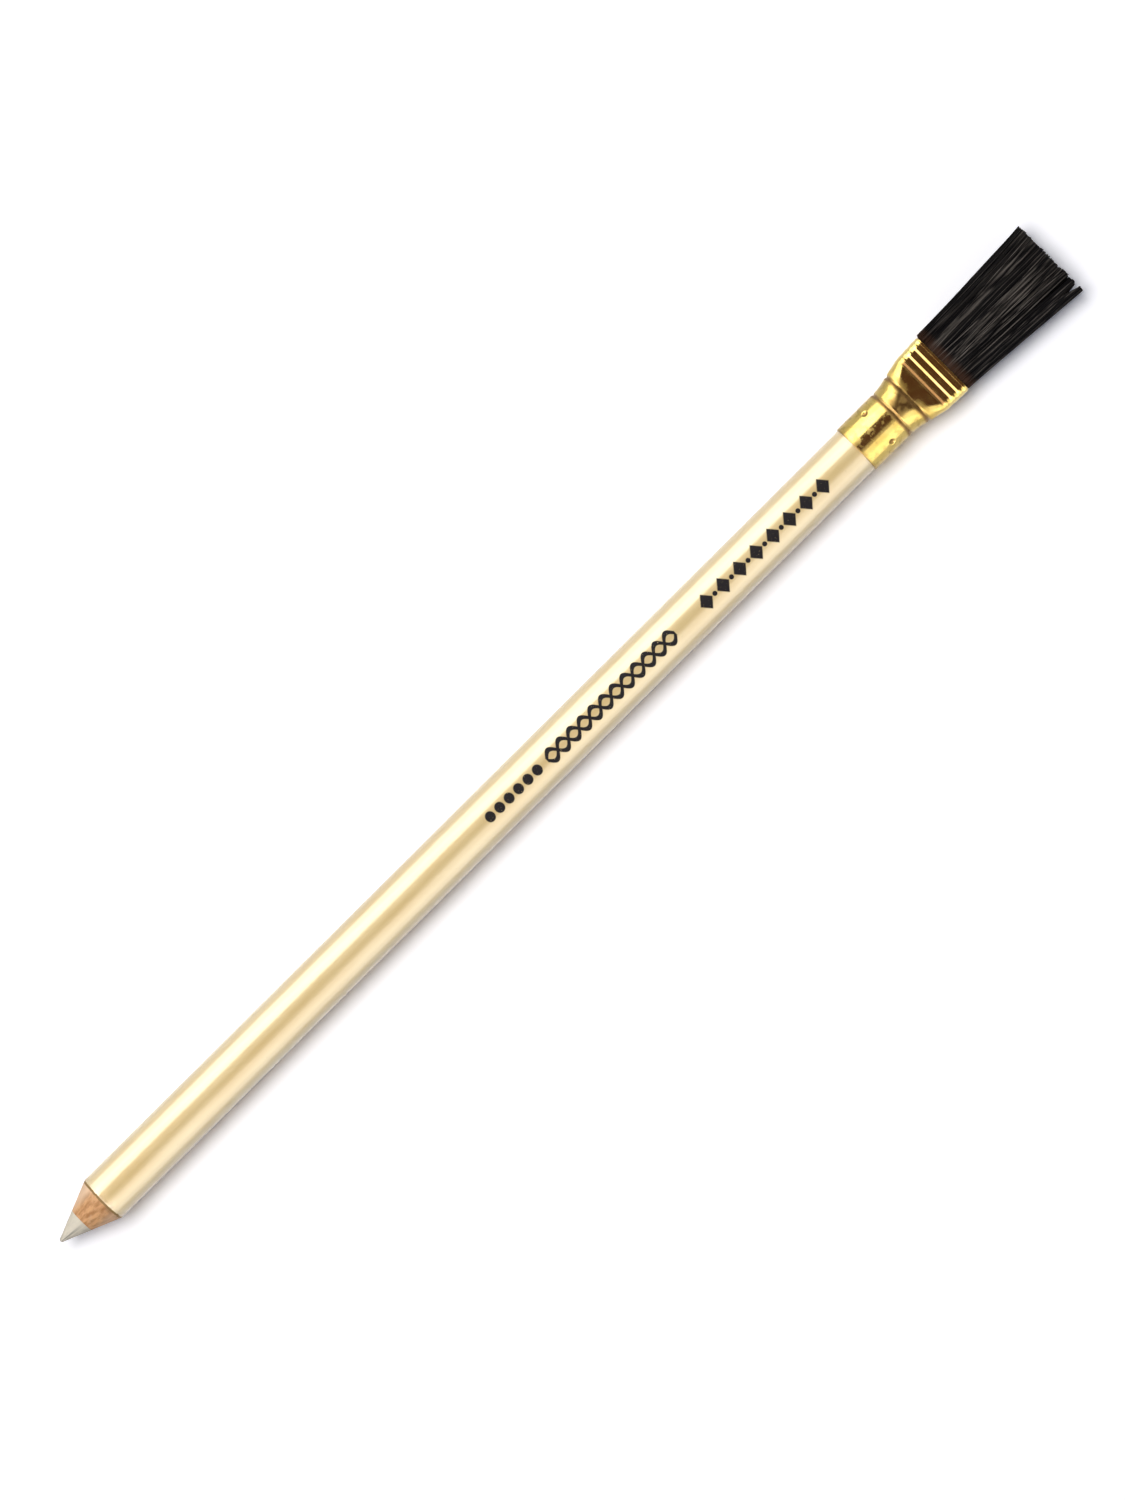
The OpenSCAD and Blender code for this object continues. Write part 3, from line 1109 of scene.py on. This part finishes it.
@dataclass
class Ferrule:
    """The pressed tube: round on the barrel, flared flat at the brush, rolled, beaded and dimpled."""

    stations: Stations
    tube_r: float = 3.95 * MM
    wall: float = 0.35 * MM
    stop_groove: float = 7.2 * MM
    groove_pitch: float = 3.1 * MM
    groove_w: float = 0.8 * MM
    groove_depth: float = 0.18 * MM
    flare_end: float = 13.0 * MM
    flare_end_t: float = 3.5 * MM
    mouth_t: float = 2.9 * MM
    edge_flat: float = 0.72 * MM
    bend: float = 0.5 * MM
    flare_bend: float = 1.0 * MM
    bead_count: int = 3
    bead_start: float = 0.55 * MM
    bead_pitch: float = 1.28 * MM
    bead_w: float = 1.04 * MM
    bead_h: float = 0.22 * MM
    bead_runout: float = 0.8
    lip_turn: float = 0.1 * MM
    lip_len: float = 0.6 * MM
    lip_roll: float = 0.055 * MM
    lip_roll_w: float = 0.34 * MM
    rim_round: float = 0.11 * MM
    rim_len: float = 1.0 * MM
    dimple_soft: float = 0.05 * MM
    dimple_room: float = 0.9 * MM
    dent: float = 0.012 * MM
    dent_scale: float = 380.0
    span_rings: tuple[int, ...] = (5, 14, 30, 9, 16, 20, 16, 22, 60, 3, 10)
    rim_rings: int = 5
    mouth_rings: int = 9
    inner_step: int = 4
    crease: float = 55.0
    sides: int = 240

    @property
    def length(self) -> float:
        """Length from the rim to the mouth."""
        return self.stations.mouth - self.stations.rim

    @property
    def flare_start(self) -> float:
        """Where the tube begins to flatten, from the rim."""
        return self.stop_groove + self.flare_bend

    @property
    def dimples(self) -> DimpleRing:
        """The dimples that hold the tube on the barrel."""
        return DimpleRing(self.tube_r)

    @property
    def groove_xs(self) -> tuple[float, float]:
        """Middles of the two rolled grooves, from the rim."""
        return self.stop_groove, self.stop_groove + self.groove_pitch

    @property
    def bead_xs(self) -> list[float]:
        """Middles of the beads, from the rim."""
        return [self.flare_end + self.bead_start + i * self.bead_pitch for i in range(self.bead_count)]

    def ramp(self, x: np.ndarray, bend: float) -> np.ndarray:
        """Zero before 0 and x after it, with a soft bend between."""
        bent = (x + bend) ** 2 / (4 * bend)
        return np.where(x < -bend, 0.0, np.where(x > bend, x, bent))

    def half_t(self, x: np.ndarray) -> np.ndarray:
        """Half the thickness over the metal at a distance from the rim.

        Args:
            x: distances from the rim.

        Returns:
            Half the thickness at each of them.
        """
        flare = (self.tube_r - self.flare_end_t / 2) / (self.flare_end - self.flare_start)
        flat = (self.flare_end_t - self.mouth_t) / 2 / (self.length - self.flare_end)
        flared = self.tube_r - flare * self.ramp(x - self.flare_start, self.flare_bend)
        return flared + (flare - flat) * self.ramp(x - self.flare_end, self.bend)

    def half_edge(self, x: np.ndarray) -> np.ndarray:
        """Half the straight stretch in each side of the section."""
        share = self.ramp(x - self.flare_start, self.flare_bend) - self.ramp(x - self.flare_end, self.bend)
        return self.edge_flat / 2 * share / (self.flare_end - self.flare_start)

    def half_w(self, x: np.ndarray) -> np.ndarray:
        """Half the width: pressing keeps the tube's girth, so the width follows the rest."""
        corner = self.half_t(x) - self.half_edge(x)
        return math.pi / 2 * self.tube_r + (2 - math.pi / 2) * corner - self.half_t(x)

    def swell(self, x: np.ndarray, centre: float, width: float) -> np.ndarray:
        """A smooth ridge of height 1."""
        near = np.abs(x - centre) < width / 2
        return np.where(near, np.cos(math.pi * (x - centre) / width) ** 2, 0.0)

    def beads(self, x: np.ndarray) -> np.ndarray:
        """Height of the beads on the broad faces."""
        return self.bead_h * sum(self.swell(x, c, self.bead_w) for c in self.bead_xs)

    def relief(self, x: np.ndarray) -> np.ndarray:
        """Height of the beads less the depth of the grooves and of the turned lip.

        Args:
            x: distances from the rim.

        Returns:
            The height at each of them.
        """
        grooves = sum(self.swell(x, c, self.groove_w) for c in self.groove_xs)
        lip = np.clip((x - self.length + self.lip_len) / self.lip_len, 0, 1) ** 2
        roll_at = self.length - self.wall / 2 - self.lip_roll_w / 2
        roll = self.lip_roll * self.swell(x, roll_at, self.lip_roll_w)
        return self.beads(x) - self.groove_depth * grooves - self.lip_turn * lip + roll

    def punched(self, x: np.ndarray, s: np.ndarray) -> np.ndarray:
        """Depth of the punched dimples.

        Args:
            x: distance from the rim.
            s: distance round the tube from its +Y side, over the top.

        Returns:
            The depth at each point.
        """
        punch, girth, soft = self.dimples, math.tau * self.tube_r, self.dimple_soft
        depth = np.zeros(np.broadcast(x, s).shape)
        for k in range(punch.count):
            turn = math.pi / 2 - punch.turn + k * punch.step
            round_it = (s - turn * self.tube_r + girth / 2) % girth - girth / 2
            away = np.hypot(x - punch.along, round_it)
            ball = np.sqrt(np.maximum(punch.radius**2 - away**2, 0)) - (punch.radius - punch.depth)
            depth += (ball + np.hypot(ball, soft)) / 2 * (away < 1.5 * punch.radius)
        return depth

    def stations_along(self) -> np.ndarray:
        """Distances from the rim of the outer rings: close over the dimples, grooves, beads and lip.

        Returns:
            The distances, in order.
        """
        dimple, near = self.dimples.along, self.dimple_room
        half, bead = self.groove_w / 2, self.bead_w / 2
        stops = [self.rim_round, self.rim_len, dimple - near, dimple + near]
        stops += [x + way * half for x in self.groove_xs for way in (-1, 1)]
        stops += [self.bead_xs[0] - bead, self.bead_xs[-1] + bead]
        stops += [self.length - self.lip_len, self.length - self.wall / 2]
        spans = zip(stops, stops[1:], self.span_rings)
        return np.concatenate([np.linspace(a, b, n, endpoint=False) for a, b, n in spans])

    def rings(self) -> tuple[np.ndarray, np.ndarray]:
        """The rings of the shell in order: rim, outer face, mouth, inner face.

        Returns:
            The distance of each ring from the rim, and its offset from the plain outer face.
        """
        corner = np.linspace(0, math.pi / 2, self.rim_rings, endpoint=False)
        rim_x = self.rim_round * (1 - np.cos(corner))
        rim_off = self.rim_round * (np.sin(corner) - 1)
        outer = self.stations_along()
        turn = np.linspace(math.pi / 2, -math.pi / 2, self.mouth_rings)
        half = self.wall / 2
        mouth_x = self.length - half + half * np.cos(turn)
        mouth_off = self.relief(np.array(self.length - half)) - half + half * np.sin(turn)
        inner = outer[::-self.inner_step]
        x = np.concatenate([rim_x, outer, mouth_x, inner, [0.0]])
        inner_off = self.relief(inner) - self.wall
        offset = np.concatenate([rim_off, self.relief(outer), mouth_off, inner_off, [-self.wall]])
        return x, offset

    def build(self) -> bpy.types.Object:
        """Lay each ring out round its section, by distance round the girth from the +Y side.

        Returns:
            The shell.
        """
        x, offset = self.rings()
        x, offset = x[:, None], offset[:, None]
        quarter = math.pi / 2 * self.tube_r
        s = np.arange(self.sides) * 4 * quarter / self.sides
        turn = np.floor(s / quarter).astype(int)
        into = s - turn * quarter
        into = np.where(turn % 2 == 1, quarter - into, into)
        t, w, edge = self.half_t(x), self.half_w(x), self.half_edge(x)
        corner = t - edge
        arc = np.clip((into - edge) / corner, 0, math.pi / 2)
        flat = np.maximum(into - edge - corner * math.pi / 2, 0)
        y = w - corner + corner * np.cos(arc) - flat
        z = np.minimum(into, edge) + corner * np.sin(arc)
        away_y = np.where((turn == 1) | (turn == 2), -1.0, 1.0)
        away_z = np.where(turn >= 2, -1.0, 1.0)
        outer = offset > -self.wall * 0.6
        wave = np.stack([x + 0 * y, y * away_y, z * away_z], axis=-1)
        dents = self.dent * lumps(wave.reshape(-1, 3), self.dent_scale).reshape(y.shape)
        depth = offset - self.punched(x, s) + np.where(outer, np.minimum(dents, 0.0), 0.0)
        depth = depth - self.bead_runout * self.beads(x) * np.cos(arc) ** 2
        y = (y + depth * np.cos(arc)) * away_y
        z = (z + depth * np.sin(arc)) * away_z
        points = np.stack([x + 0 * y, y, z], axis=-1).reshape(-1, 3)
        points += (self.stations.rim, 0.0, self.stations.axis_z)
        faces = ring_faces(len(x), self.sides, wraps=True)
        return make_mesh("ferrule_shell", points, faces, self.crease)

    def dress(self) -> None:
        """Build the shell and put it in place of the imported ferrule."""
        places = self.stations
        grooves, fold = self.groove_xs, self.flare_end + self.bead_start / 2
        finish = PressedBrass(places.rim, places.axis_z, grooves, self.groove_w, fold, self.dimples)
        seat(self.build(), "ferrule", finish)


@dataclass
class BrushTuft:
    """The bristles: a grid of strands bound at the root, which spread, gather in locks and end in a cut."""

    stations: Stations
    root_half_w: float = 4.70 * MM
    root_half_t: float = 0.93 * MM
    root_recess: float = 0.35 * MM
    root_sides: int = 64
    foot_splay: tuple[float, float, float] = (0.0, 0.08, 0.62)
    splay_low: float = -5.0 * MM
    splay_high: float = 5.43 * MM
    splay_len: float = 0.2 * MM
    tip_low: float = -6.70 * MM
    tip_high: float = 6.34 * MM
    tip_half_t: float = 1.42 * MM
    columns: int = 64
    rows: int = 17
    thick: float = 0.17 * MM
    taper: tuple[float, float, float] = (0.95, 1.0, 0.8)
    sides: int = 4
    free_rings: int = 7
    locks: int = 70
    gather: float = 0.48
    uneven: float = 0.36 * MM
    wave: float = 0.16 * MM
    clump_share: float = -0.87
    clump_side: float = -5.95 * MM
    crowd_from: float = -4.5 * MM
    crowding: float = 0.5
    opening_low: float = 1.2
    opening_high: float = 1.8
    stray_share: float = 0.16
    stray: float = 0.8 * MM
    lit_side: float = 0.13
    crease: float = 75.0
    seed: int = 11

    def grid(self, rng: np.random.Generator) -> tuple[np.ndarray, np.ndarray]:
        """Shares of the width and of the thickness, from -1 to 1, at which the strands stand.

        Args:
            rng: source of the strays.

        Returns:
            The two shares of each strand.
        """
        across = (np.arange(self.columns) + 0.5) / self.columns
        u, v = np.meshgrid(across, (np.arange(self.rows) + 0.5) / self.rows)
        u = u + (np.arange(self.rows)[:, None] % 2 - 0.5) * 0.5 / self.columns
        u = 2 * (u + rng.uniform(-0.3, 0.3, u.shape) / self.columns) - 1
        v = 2 * (v + rng.uniform(-0.3, 0.3, v.shape) / self.rows) - 1
        return np.clip(u, -1, 1).ravel(), np.clip(v, -1, 1).ravel()

    def slot_point(self, u: np.ndarray, v: np.ndarray, half_t: float) -> tuple[np.ndarray, np.ndarray]:
        """The point at shares u and v of a round-ended section whose half width is 1."""
        reach = 1.0 - half_t + np.sqrt(np.maximum(0, 1 - v * v)) * half_t
        return u * reach, v * half_t

    def across(self, u: np.ndarray, low: float, high: float) -> np.ndarray:
        """Places between two sides for shares from -1 to 1."""
        return (low + high) / 2 + u * (high - low) / 2

    def locked(self, rng: np.random.Generator, u: np.ndarray, v: np.ndarray) -> list[np.ndarray]:
        """Gather the strands in locks.

        Args:
            rng: source of the places of the locks.
            u: shares of the width at which the strands stand.
            v: shares of the thickness.

        Returns:
            The lock of each strand, and the two shares at which its tip ends.
        """
        hearts = rng.uniform(-1, 1, (2, self.locks))
        lock = np.hypot(3.0 * (u[:, None] - hearts[0]), v[:, None] - hearts[1]).argmin(axis=1)
        pull = self.gather * rng.uniform(0.4, 1.0, len(u)) * (np.abs(u) < -self.clump_share)
        return [lock, u + (hearts[0][lock] - u) * pull, v + (hearts[1][lock] - v) * pull]

    def shortfall(self, rng: np.random.Generator, u: np.ndarray, lock: np.ndarray) -> np.ndarray:
        """How far each strand ends short of the cut, less in the stray clump.

        Args:
            rng: source of the lengths.
            u: shares of the width at which the strands stand.
            lock: the lock of each strand.

        Returns:
            One length for each strand.
        """
        by_lock = rng.uniform(0, 1, self.locks)[lock]
        short = self.uneven * (0.6 * by_lock + 0.5 * rng.uniform(0, 1, len(u)) ** 2)
        return np.where(u < self.clump_share, 0.15 * short, short)

    def parting(self, u: np.ndarray, end_y: np.ndarray) -> np.ndarray:
        """How far the tips near the stray clump crowd away from it, and those in it away from them."""
        crowd = -self.crowding * np.minimum(end_y - self.crowd_from, 0)
        return np.where(u < self.clump_share, np.minimum(end_y, self.clump_side) - end_y, crowd)

    def sway(
        self, rng: np.random.Generator, u: np.ndarray, lock: np.ndarray, f: np.ndarray
    ) -> np.ndarray:
        """Slow waves along the strands, shared by a lock, with a little of each strand's own.

        Args:
            rng: source of the waves.
            u: shares of the width at which the strands stand.
            lock: the lock of each strand.
            f: shares of the way from the mouth to the tip.

        Returns:
            The sway across the tuft and the sway through it.
        """
        turns = rng.uniform(0.4, 0.9, self.locks)[lock]
        phase = rng.uniform(0, math.tau, (2, self.locks))[:, lock, None]
        own_phase = rng.uniform(0, math.tau, (2, len(u)))[..., None]
        calm = np.interp(u, (self.clump_share, -0.6, -self.clump_share), (0.5, 1.0, 0.6))
        size = self.wave * (rng.uniform(0.3, 1.0, self.locks)[lock] * calm)[:, None] * np.sqrt(f)
        bow = math.tau * turns[:, None] * f
        return size * (np.sin(bow + phase) + 0.5 * np.sin(1.7 * bow + own_phase))

    def strays(self, u: np.ndarray, v: np.ndarray) -> tuple[np.ndarray, np.ndarray]:
        """Which strands of the broad faces lie loose, and how far aside the tip of each lies.

        Args:
            u: shares of the width at which the strands stand.
            v: shares of the thickness.

        Returns:
            The choice of strands, and the distances.
        """
        own = np.random.default_rng(self.seed + 2)
        loose = (own.uniform(0, 1, len(u)) < self.stray_share) & (np.abs(v) > 0.8) & (np.abs(u) < 0.7)
        return loose, loose * own.normal(-0.4, 1.0, len(u)) * self.stray

    def shades(
        self, rng: np.random.Generator, u: np.ndarray, lock: np.ndarray, loose: np.ndarray
    ) -> np.ndarray:
        """Painted highlight shade of each strand, 0 for black, by lock and by strand, lighter when loose
        and on the lit side.

        Args:
            rng: source of the shades.
            u: shares of the width at which the strands stand.
            lock: the lock of each strand.
            loose: which strands lie loose.

        Returns:
            One shade for each strand.
        """
        light = rng.uniform(0, 1, self.locks)[lock] ** 2
        shade = 0.45 * light + 0.5 * rng.uniform(0, 1, len(u)) ** 2.5
        shade = np.where(loose, np.maximum(shade, 0.55), shade)
        # Painted light: strands on the side towards the lamp are lighter.
        return shade + self.lit_side * np.clip(3 * u - 1, 0, 1)

    def paths(self) -> tuple[np.ndarray, np.ndarray, np.ndarray]:
        """Lay out the strands.

        Returns:
            Points along each strand from the face of the root, the strands' thicknesses and their shades.
        """
        rng = np.random.default_rng(self.seed)
        u, v = self.grid(rng)
        lock, tip_u, tip_v = self.locked(rng, u, v)
        reach_y, root_z = self.slot_point(u, v, self.root_half_t / self.root_half_w)
        root_z = root_z * self.root_half_w
        end_y, end_z = self.slot_point(tip_u, tip_v, self.tip_half_t / self.tip_high)
        end_z = end_z * self.tip_high
        root_y = self.across(reach_y, -self.root_half_w, self.root_half_w)
        splay_y = root_y + (self.splay_high - self.root_half_w) * np.maximum(u, 0) ** 3
        splay_y = splay_y + (self.splay_low + self.root_half_w) * np.maximum(-u, 0) ** 3
        end_y = self.across(end_y, self.tip_low, self.tip_high)

        mouth = self.stations.mouth
        splay_x = mouth + self.splay_len
        f = np.linspace(0, 1, self.free_rings + 1)[None, :]
        short = self.shortfall(rng, u, lock)
        sway_y, sway_z = self.sway(rng, u, lock, f)
        loose, aside = self.strays(u, v)
        opening = np.interp(u, (-1, -0.5, 0.3, 1), (self.opening_low, 1, 1, self.opening_high))
        x = splay_x + (self.stations.brush_end - short - splay_x)[:, None] * f
        y = splay_y[:, None] + (end_y - splay_y)[:, None] * f ** opening[:, None] + sway_y
        y = y + self.parting(u, end_y)[:, None] * f**10 + aside[:, None] * f
        spread = f + 0.5 * f * (1 - f)
        z = root_z[:, None] + (end_z - root_z)[:, None] * spread + 0.6 * sway_z
        z = z + (loose * np.sign(v) * self.thick)[:, None] * np.sqrt(f)

        foot_x = np.array([mouth - self.root_recess, mouth, mouth + self.splay_len * 0.4])
        foot_y = root_y[:, None] + (splay_y - root_y)[:, None] * np.array(self.foot_splay)
        x = np.concatenate([foot_x + 0 * foot_y, x], axis=1)
        y = np.concatenate([foot_y, y], axis=1)
        z = np.concatenate([root_z[:, None] + 0 * foot_y, z], axis=1)
        thick = self.thick * rng.uniform(0.8, 1.15, len(u))
        return np.stack([x, y, z], axis=-1), thick, self.shades(rng, u, lock, loose)

    def build(self) -> bpy.types.Object:
        """Give each strand its skin, and add the bound root behind them.

        Returns:
            The tuft.
        """
        paths, thick, shade = self.paths()
        count, rings, _ = paths.shape
        rng = np.random.default_rng(self.seed + 1)
        twist = rng.uniform(0, math.tau, count)[:, None, None]
        angle = np.arange(self.sides) * math.tau / self.sides + twist
        taper = np.interp(np.arange(rings), (0, rings - 2, rings - 1), self.taper)
        radius = thick[:, None, None] / 2 * taper[None, :, None]
        y = paths[:, :, 1, None] + radius * np.cos(angle)
        z = paths[:, :, 2, None] + radius * np.sin(angle)
        x = paths[:, :, 0, None] + 0 * y
        points = np.stack([x, y, z], axis=-1).reshape(-1, 3)
        skin = ring_faces(rings, self.sides, wraps=False)
        ends = [tuple(range(self.sides)), tuple((rings - 1) * self.sides + i for i in range(self.sides))]
        per_strand = rings * self.sides
        faces = [tuple(k * per_strand + i for i in face) for k in range(count) for face in skin + ends]
        root_points, root_faces = self.root(len(points))
        points = np.concatenate([points, root_points]) + (0.0, 0.0, self.stations.axis_z)
        made = make_mesh("bristle_tuft", points, faces + root_faces, self.crease)
        shades = np.concatenate([np.repeat(shade, per_strand), np.zeros(len(root_points))])
        made.data.attributes.new(STRAND_SHADE, "FLOAT", "POINT").data.foreach_set("value", shades)
        return made

    def root(self, start: int) -> tuple[np.ndarray, list[Face]]:
        """The bound root inside the mouth, as one block with round ends.

        Args:
            start: place of its first point in the list of points.

        Returns:
            Its points and its faces.
        """
        sides, middle = self.root_sides, self.root_half_w - self.root_half_t
        angle = (np.arange(sides) + 0.5) * math.tau / sides
        y = np.sign(np.cos(angle)) * middle + self.root_half_t * np.cos(angle)
        z = self.root_half_t * np.sin(angle)
        face = self.stations.mouth - self.root_recess
        rings = [np.stack([0 * y + x, y, z], axis=-1) for x in (self.stations.root_back, face)]
        faces = [tuple(start + i for i in f) for f in ring_faces(2, sides, wraps=False)]
        faces.append(tuple(start + i for i in range(sides)))
        faces.append(tuple(start + sides + i for i in range(sides)))
        return np.concatenate(rings), faces

    def dress(self) -> None:
        """Build the tuft and put it in place of the packed bristles."""
        seat(self.build(), "bristles", BlackBristle(self.stations.mouth))


class Role(Enum):
    """What a panel is hung for."""

    LAMP = "lights the table and the pencil, and is kept out of their gloss"
    CARD = "shows in the gloss, and is kept off the table"


@dataclass(frozen=True)
class Panel:
    """A panel of even light over the table, an oval lamp or a long card, with its angles in degrees."""

    title: str
    role: Role
    zenith: float
    span: float
    azimuth: float
    radiance: float
    length: float = 2.6
    distance: float = 1.1
    stretch: float = 1.0
    tint: tuple[float, float, float] = (1.0, 1.0, 1.0)

    def hang(self, target: Vector) -> None:
        """Hang the panel and aim it.

        Args:
            target: the point that it faces.
        """
        height = 2 * self.distance * math.tan(math.radians(self.span) / 2)
        oval = self.role is Role.LAMP
        width = self.stretch * height if oval else self.length
        area = width * height * (math.pi / 4 if oval else 1.0)
        panel = bpy.data.lights.new(self.title, "AREA")
        panel.color = self.tint
        panel.shape = "ELLIPSE" if oval else "RECTANGLE"
        panel.size, panel.size_y = width, height
        panel.energy = 4 * area * self.radiance
        made = bpy.data.objects.new(self.title, panel)
        zenith, azimuth = math.radians(self.zenith), math.radians(self.azimuth)
        level, up = self.distance * math.sin(zenith), self.distance * math.cos(zenith)
        way = Vector((level * math.cos(azimuth), level * math.sin(azimuth), up))
        made.location = target + way
        made.rotation_euler = (-way).to_track_quat("-Z", "Y").to_euler()
        made.visible_glossy = not oval
        made.visible_diffuse = oval
        bpy.context.scene.collection.objects.link(made)
        log.info("%s hung", self.title)


@dataclass(frozen=True)
class Studio:
    """A white table under a soft lamp, between long cards, below a dark warm ceiling."""

    stations: Stations
    table_side: float = 12.0
    paper: Colour = (0.50, 0.50, 0.51, 1.0)
    paper_seen: Colour = (1.185, 1.165, 1.17, 1.0)
    ceiling: Colour = (0.125, 0.057, 0.05, 1.0)
    horizon: Colour = (1.0, 1.0, 1.0, 1.0)
    ambient: Colour = (0.212, 0.224, 0.26, 1.0)
    white: Colour = (1.0, 1.0, 1.0, 1.0)
    ceiling_lean: float = 0.5
    ceiling_edge: Span = (0.5, 0.75)
    panels: tuple[Panel, ...] = (
        Panel("soft_lamp", Role.LAMP, zenith=19.5, span=30.0, azimuth=120.0, radiance=5.85,
              distance=3.0, stretch=1.55),
        Panel("far_card", Role.CARD, zenith=43.5, span=33.0, azimuth=90.0, radiance=3.2),
        Panel("far_low_card", Role.CARD, zenith=73.5, span=27.0, azimuth=90.0, radiance=2.1),
        Panel("near_glow", Role.CARD, zenith=23.0, span=12.0, azimuth=-90.0, radiance=0.45),
        Panel("near_card", Role.CARD, zenith=48.5, span=39.0, azimuth=-90.0, radiance=1.5),
        Panel("near_low_card", Role.CARD, zenith=79.0, span=22.0, azimuth=-90.0, radiance=1.2),
        Panel("side_card", Role.CARD, zenith=44.0, span=36.0, azimuth=180.0, radiance=2.4,
              tint=(1.0, 0.82, 1.0)),
    )

    def table(self) -> None:
        """Lay the white table under the pencil."""
        half = self.table_side / 2
        points = np.array([(-half, -half, 0.0), (half, -half, 0.0), (half, half, 0.0), (-half, half, 0.0)])
        made = make_mesh("table", points, [(0, 1, 2, 3)])
        paint = bpy.data.materials.new("white_paper")
        paint.use_nodes = True
        graph = Graph(paint.node_tree)
        camera, mirrored = graph.rays()
        colour = graph.mix(camera.at_least(mirrored), self.paper, self.paper_seen)
        graph.end(graph.node("ShaderNodeBsdfDiffuse", sockets={"Color": colour}))
        made.data.materials.append(paint)

    def surroundings(self) -> None:
        """Dark overhead and towards the brush, white low down: seen by the camera as plain white."""
        world = bpy.data.worlds.new("studio")
        bpy.context.scene.world = world
        world.use_nodes = True
        graph = Graph(world.node_tree)
        way = graph.node("ShaderNodeTexCoord", output="Generated")
        along, _, up = graph.axes(way)
        height = up + self.ceiling_lean * along
        room = graph.mix(height.rise(*self.ceiling_edge), self.horizon, self.ceiling)
        camera, mirrored = graph.rays()
        colour = graph.mix(camera, graph.mix(mirrored, self.ambient, room), self.white)
        shader = graph.node("ShaderNodeBackground", sockets={"Color": colour})
        graph.end(shader, "ShaderNodeOutputWorld")

    def build(self) -> None:
        """Set up the table, the surroundings and the panels."""
        self.table()
        self.surroundings()
        for panel in self.panels:
            panel.hang(Vector((0.0, 0.0, self.stations.axis_z)))


@dataclass(frozen=True)
class OverheadCamera:
    """A long lens straight over the table, turned so that the pencil lies across the picture."""

    stations: Stations
    picture: tuple[int, int] = (1125, 1500)
    middle: tuple[float, float] = (555.3, 749.2)
    pixels_per_metre: float = 7067.0
    turn: float = math.radians(44.85)
    distance: float = 1.0
    sensor: float = 36.0

    def build(self) -> None:
        """Make the camera so that the pencil's middle falls on its pixel."""
        lens = bpy.data.cameras.new("overhead")
        lens.sensor_fit = "AUTO"
        lens.sensor_width = self.sensor
        lens.lens = self.pixels_per_metre * self.distance / max(self.picture) * self.sensor
        made = bpy.data.objects.new("overhead", lens)
        right = (self.picture[0] / 2 - self.middle[0]) / self.pixels_per_metre
        up = (self.middle[1] - self.picture[1] / 2) / self.pixels_per_metre
        x = right * math.cos(self.turn) + up * math.sin(self.turn)
        y = up * math.cos(self.turn) - right * math.sin(self.turn)
        centre = (self.stations.tip + self.stations.brush_end) / 2
        made.location = (centre + x, y, self.stations.axis_z + self.distance)
        made.rotation_euler = (0.0, 0.0, -self.turn)
        bpy.context.scene.collection.objects.link(made)
        bpy.context.scene.camera = made


def dress_resin() -> None:
    """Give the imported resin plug, which keeps its own shape, its finish."""
    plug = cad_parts["setting_resin"]
    plug.data.materials.clear()
    plug.data.materials.append(SetResin().material())
    log.info("%s keeps its solid", plug.name)


def main() -> None:
    """Build the pencil's sub-assemblies in order, then the studio and the camera."""
    logging.basicConfig(level=logging.INFO, format="%(name)s: %(message)s")
    bpy.context.scene.view_settings.view_transform = "Standard"
    stations = Stations.from_frame()
    cone = SharpenedCone()
    EraserRod(stations, cone).dress()
    Casing(stations, cone).dress()
    LacquerCoat(stations, cone).dress()
    Ferrule(stations).dress()
    dress_resin()
    BrushTuft(stations).dress()
    Studio(stations).build()
    OverheadCamera(stations).build()


if __name__ == "__main__":
    main()
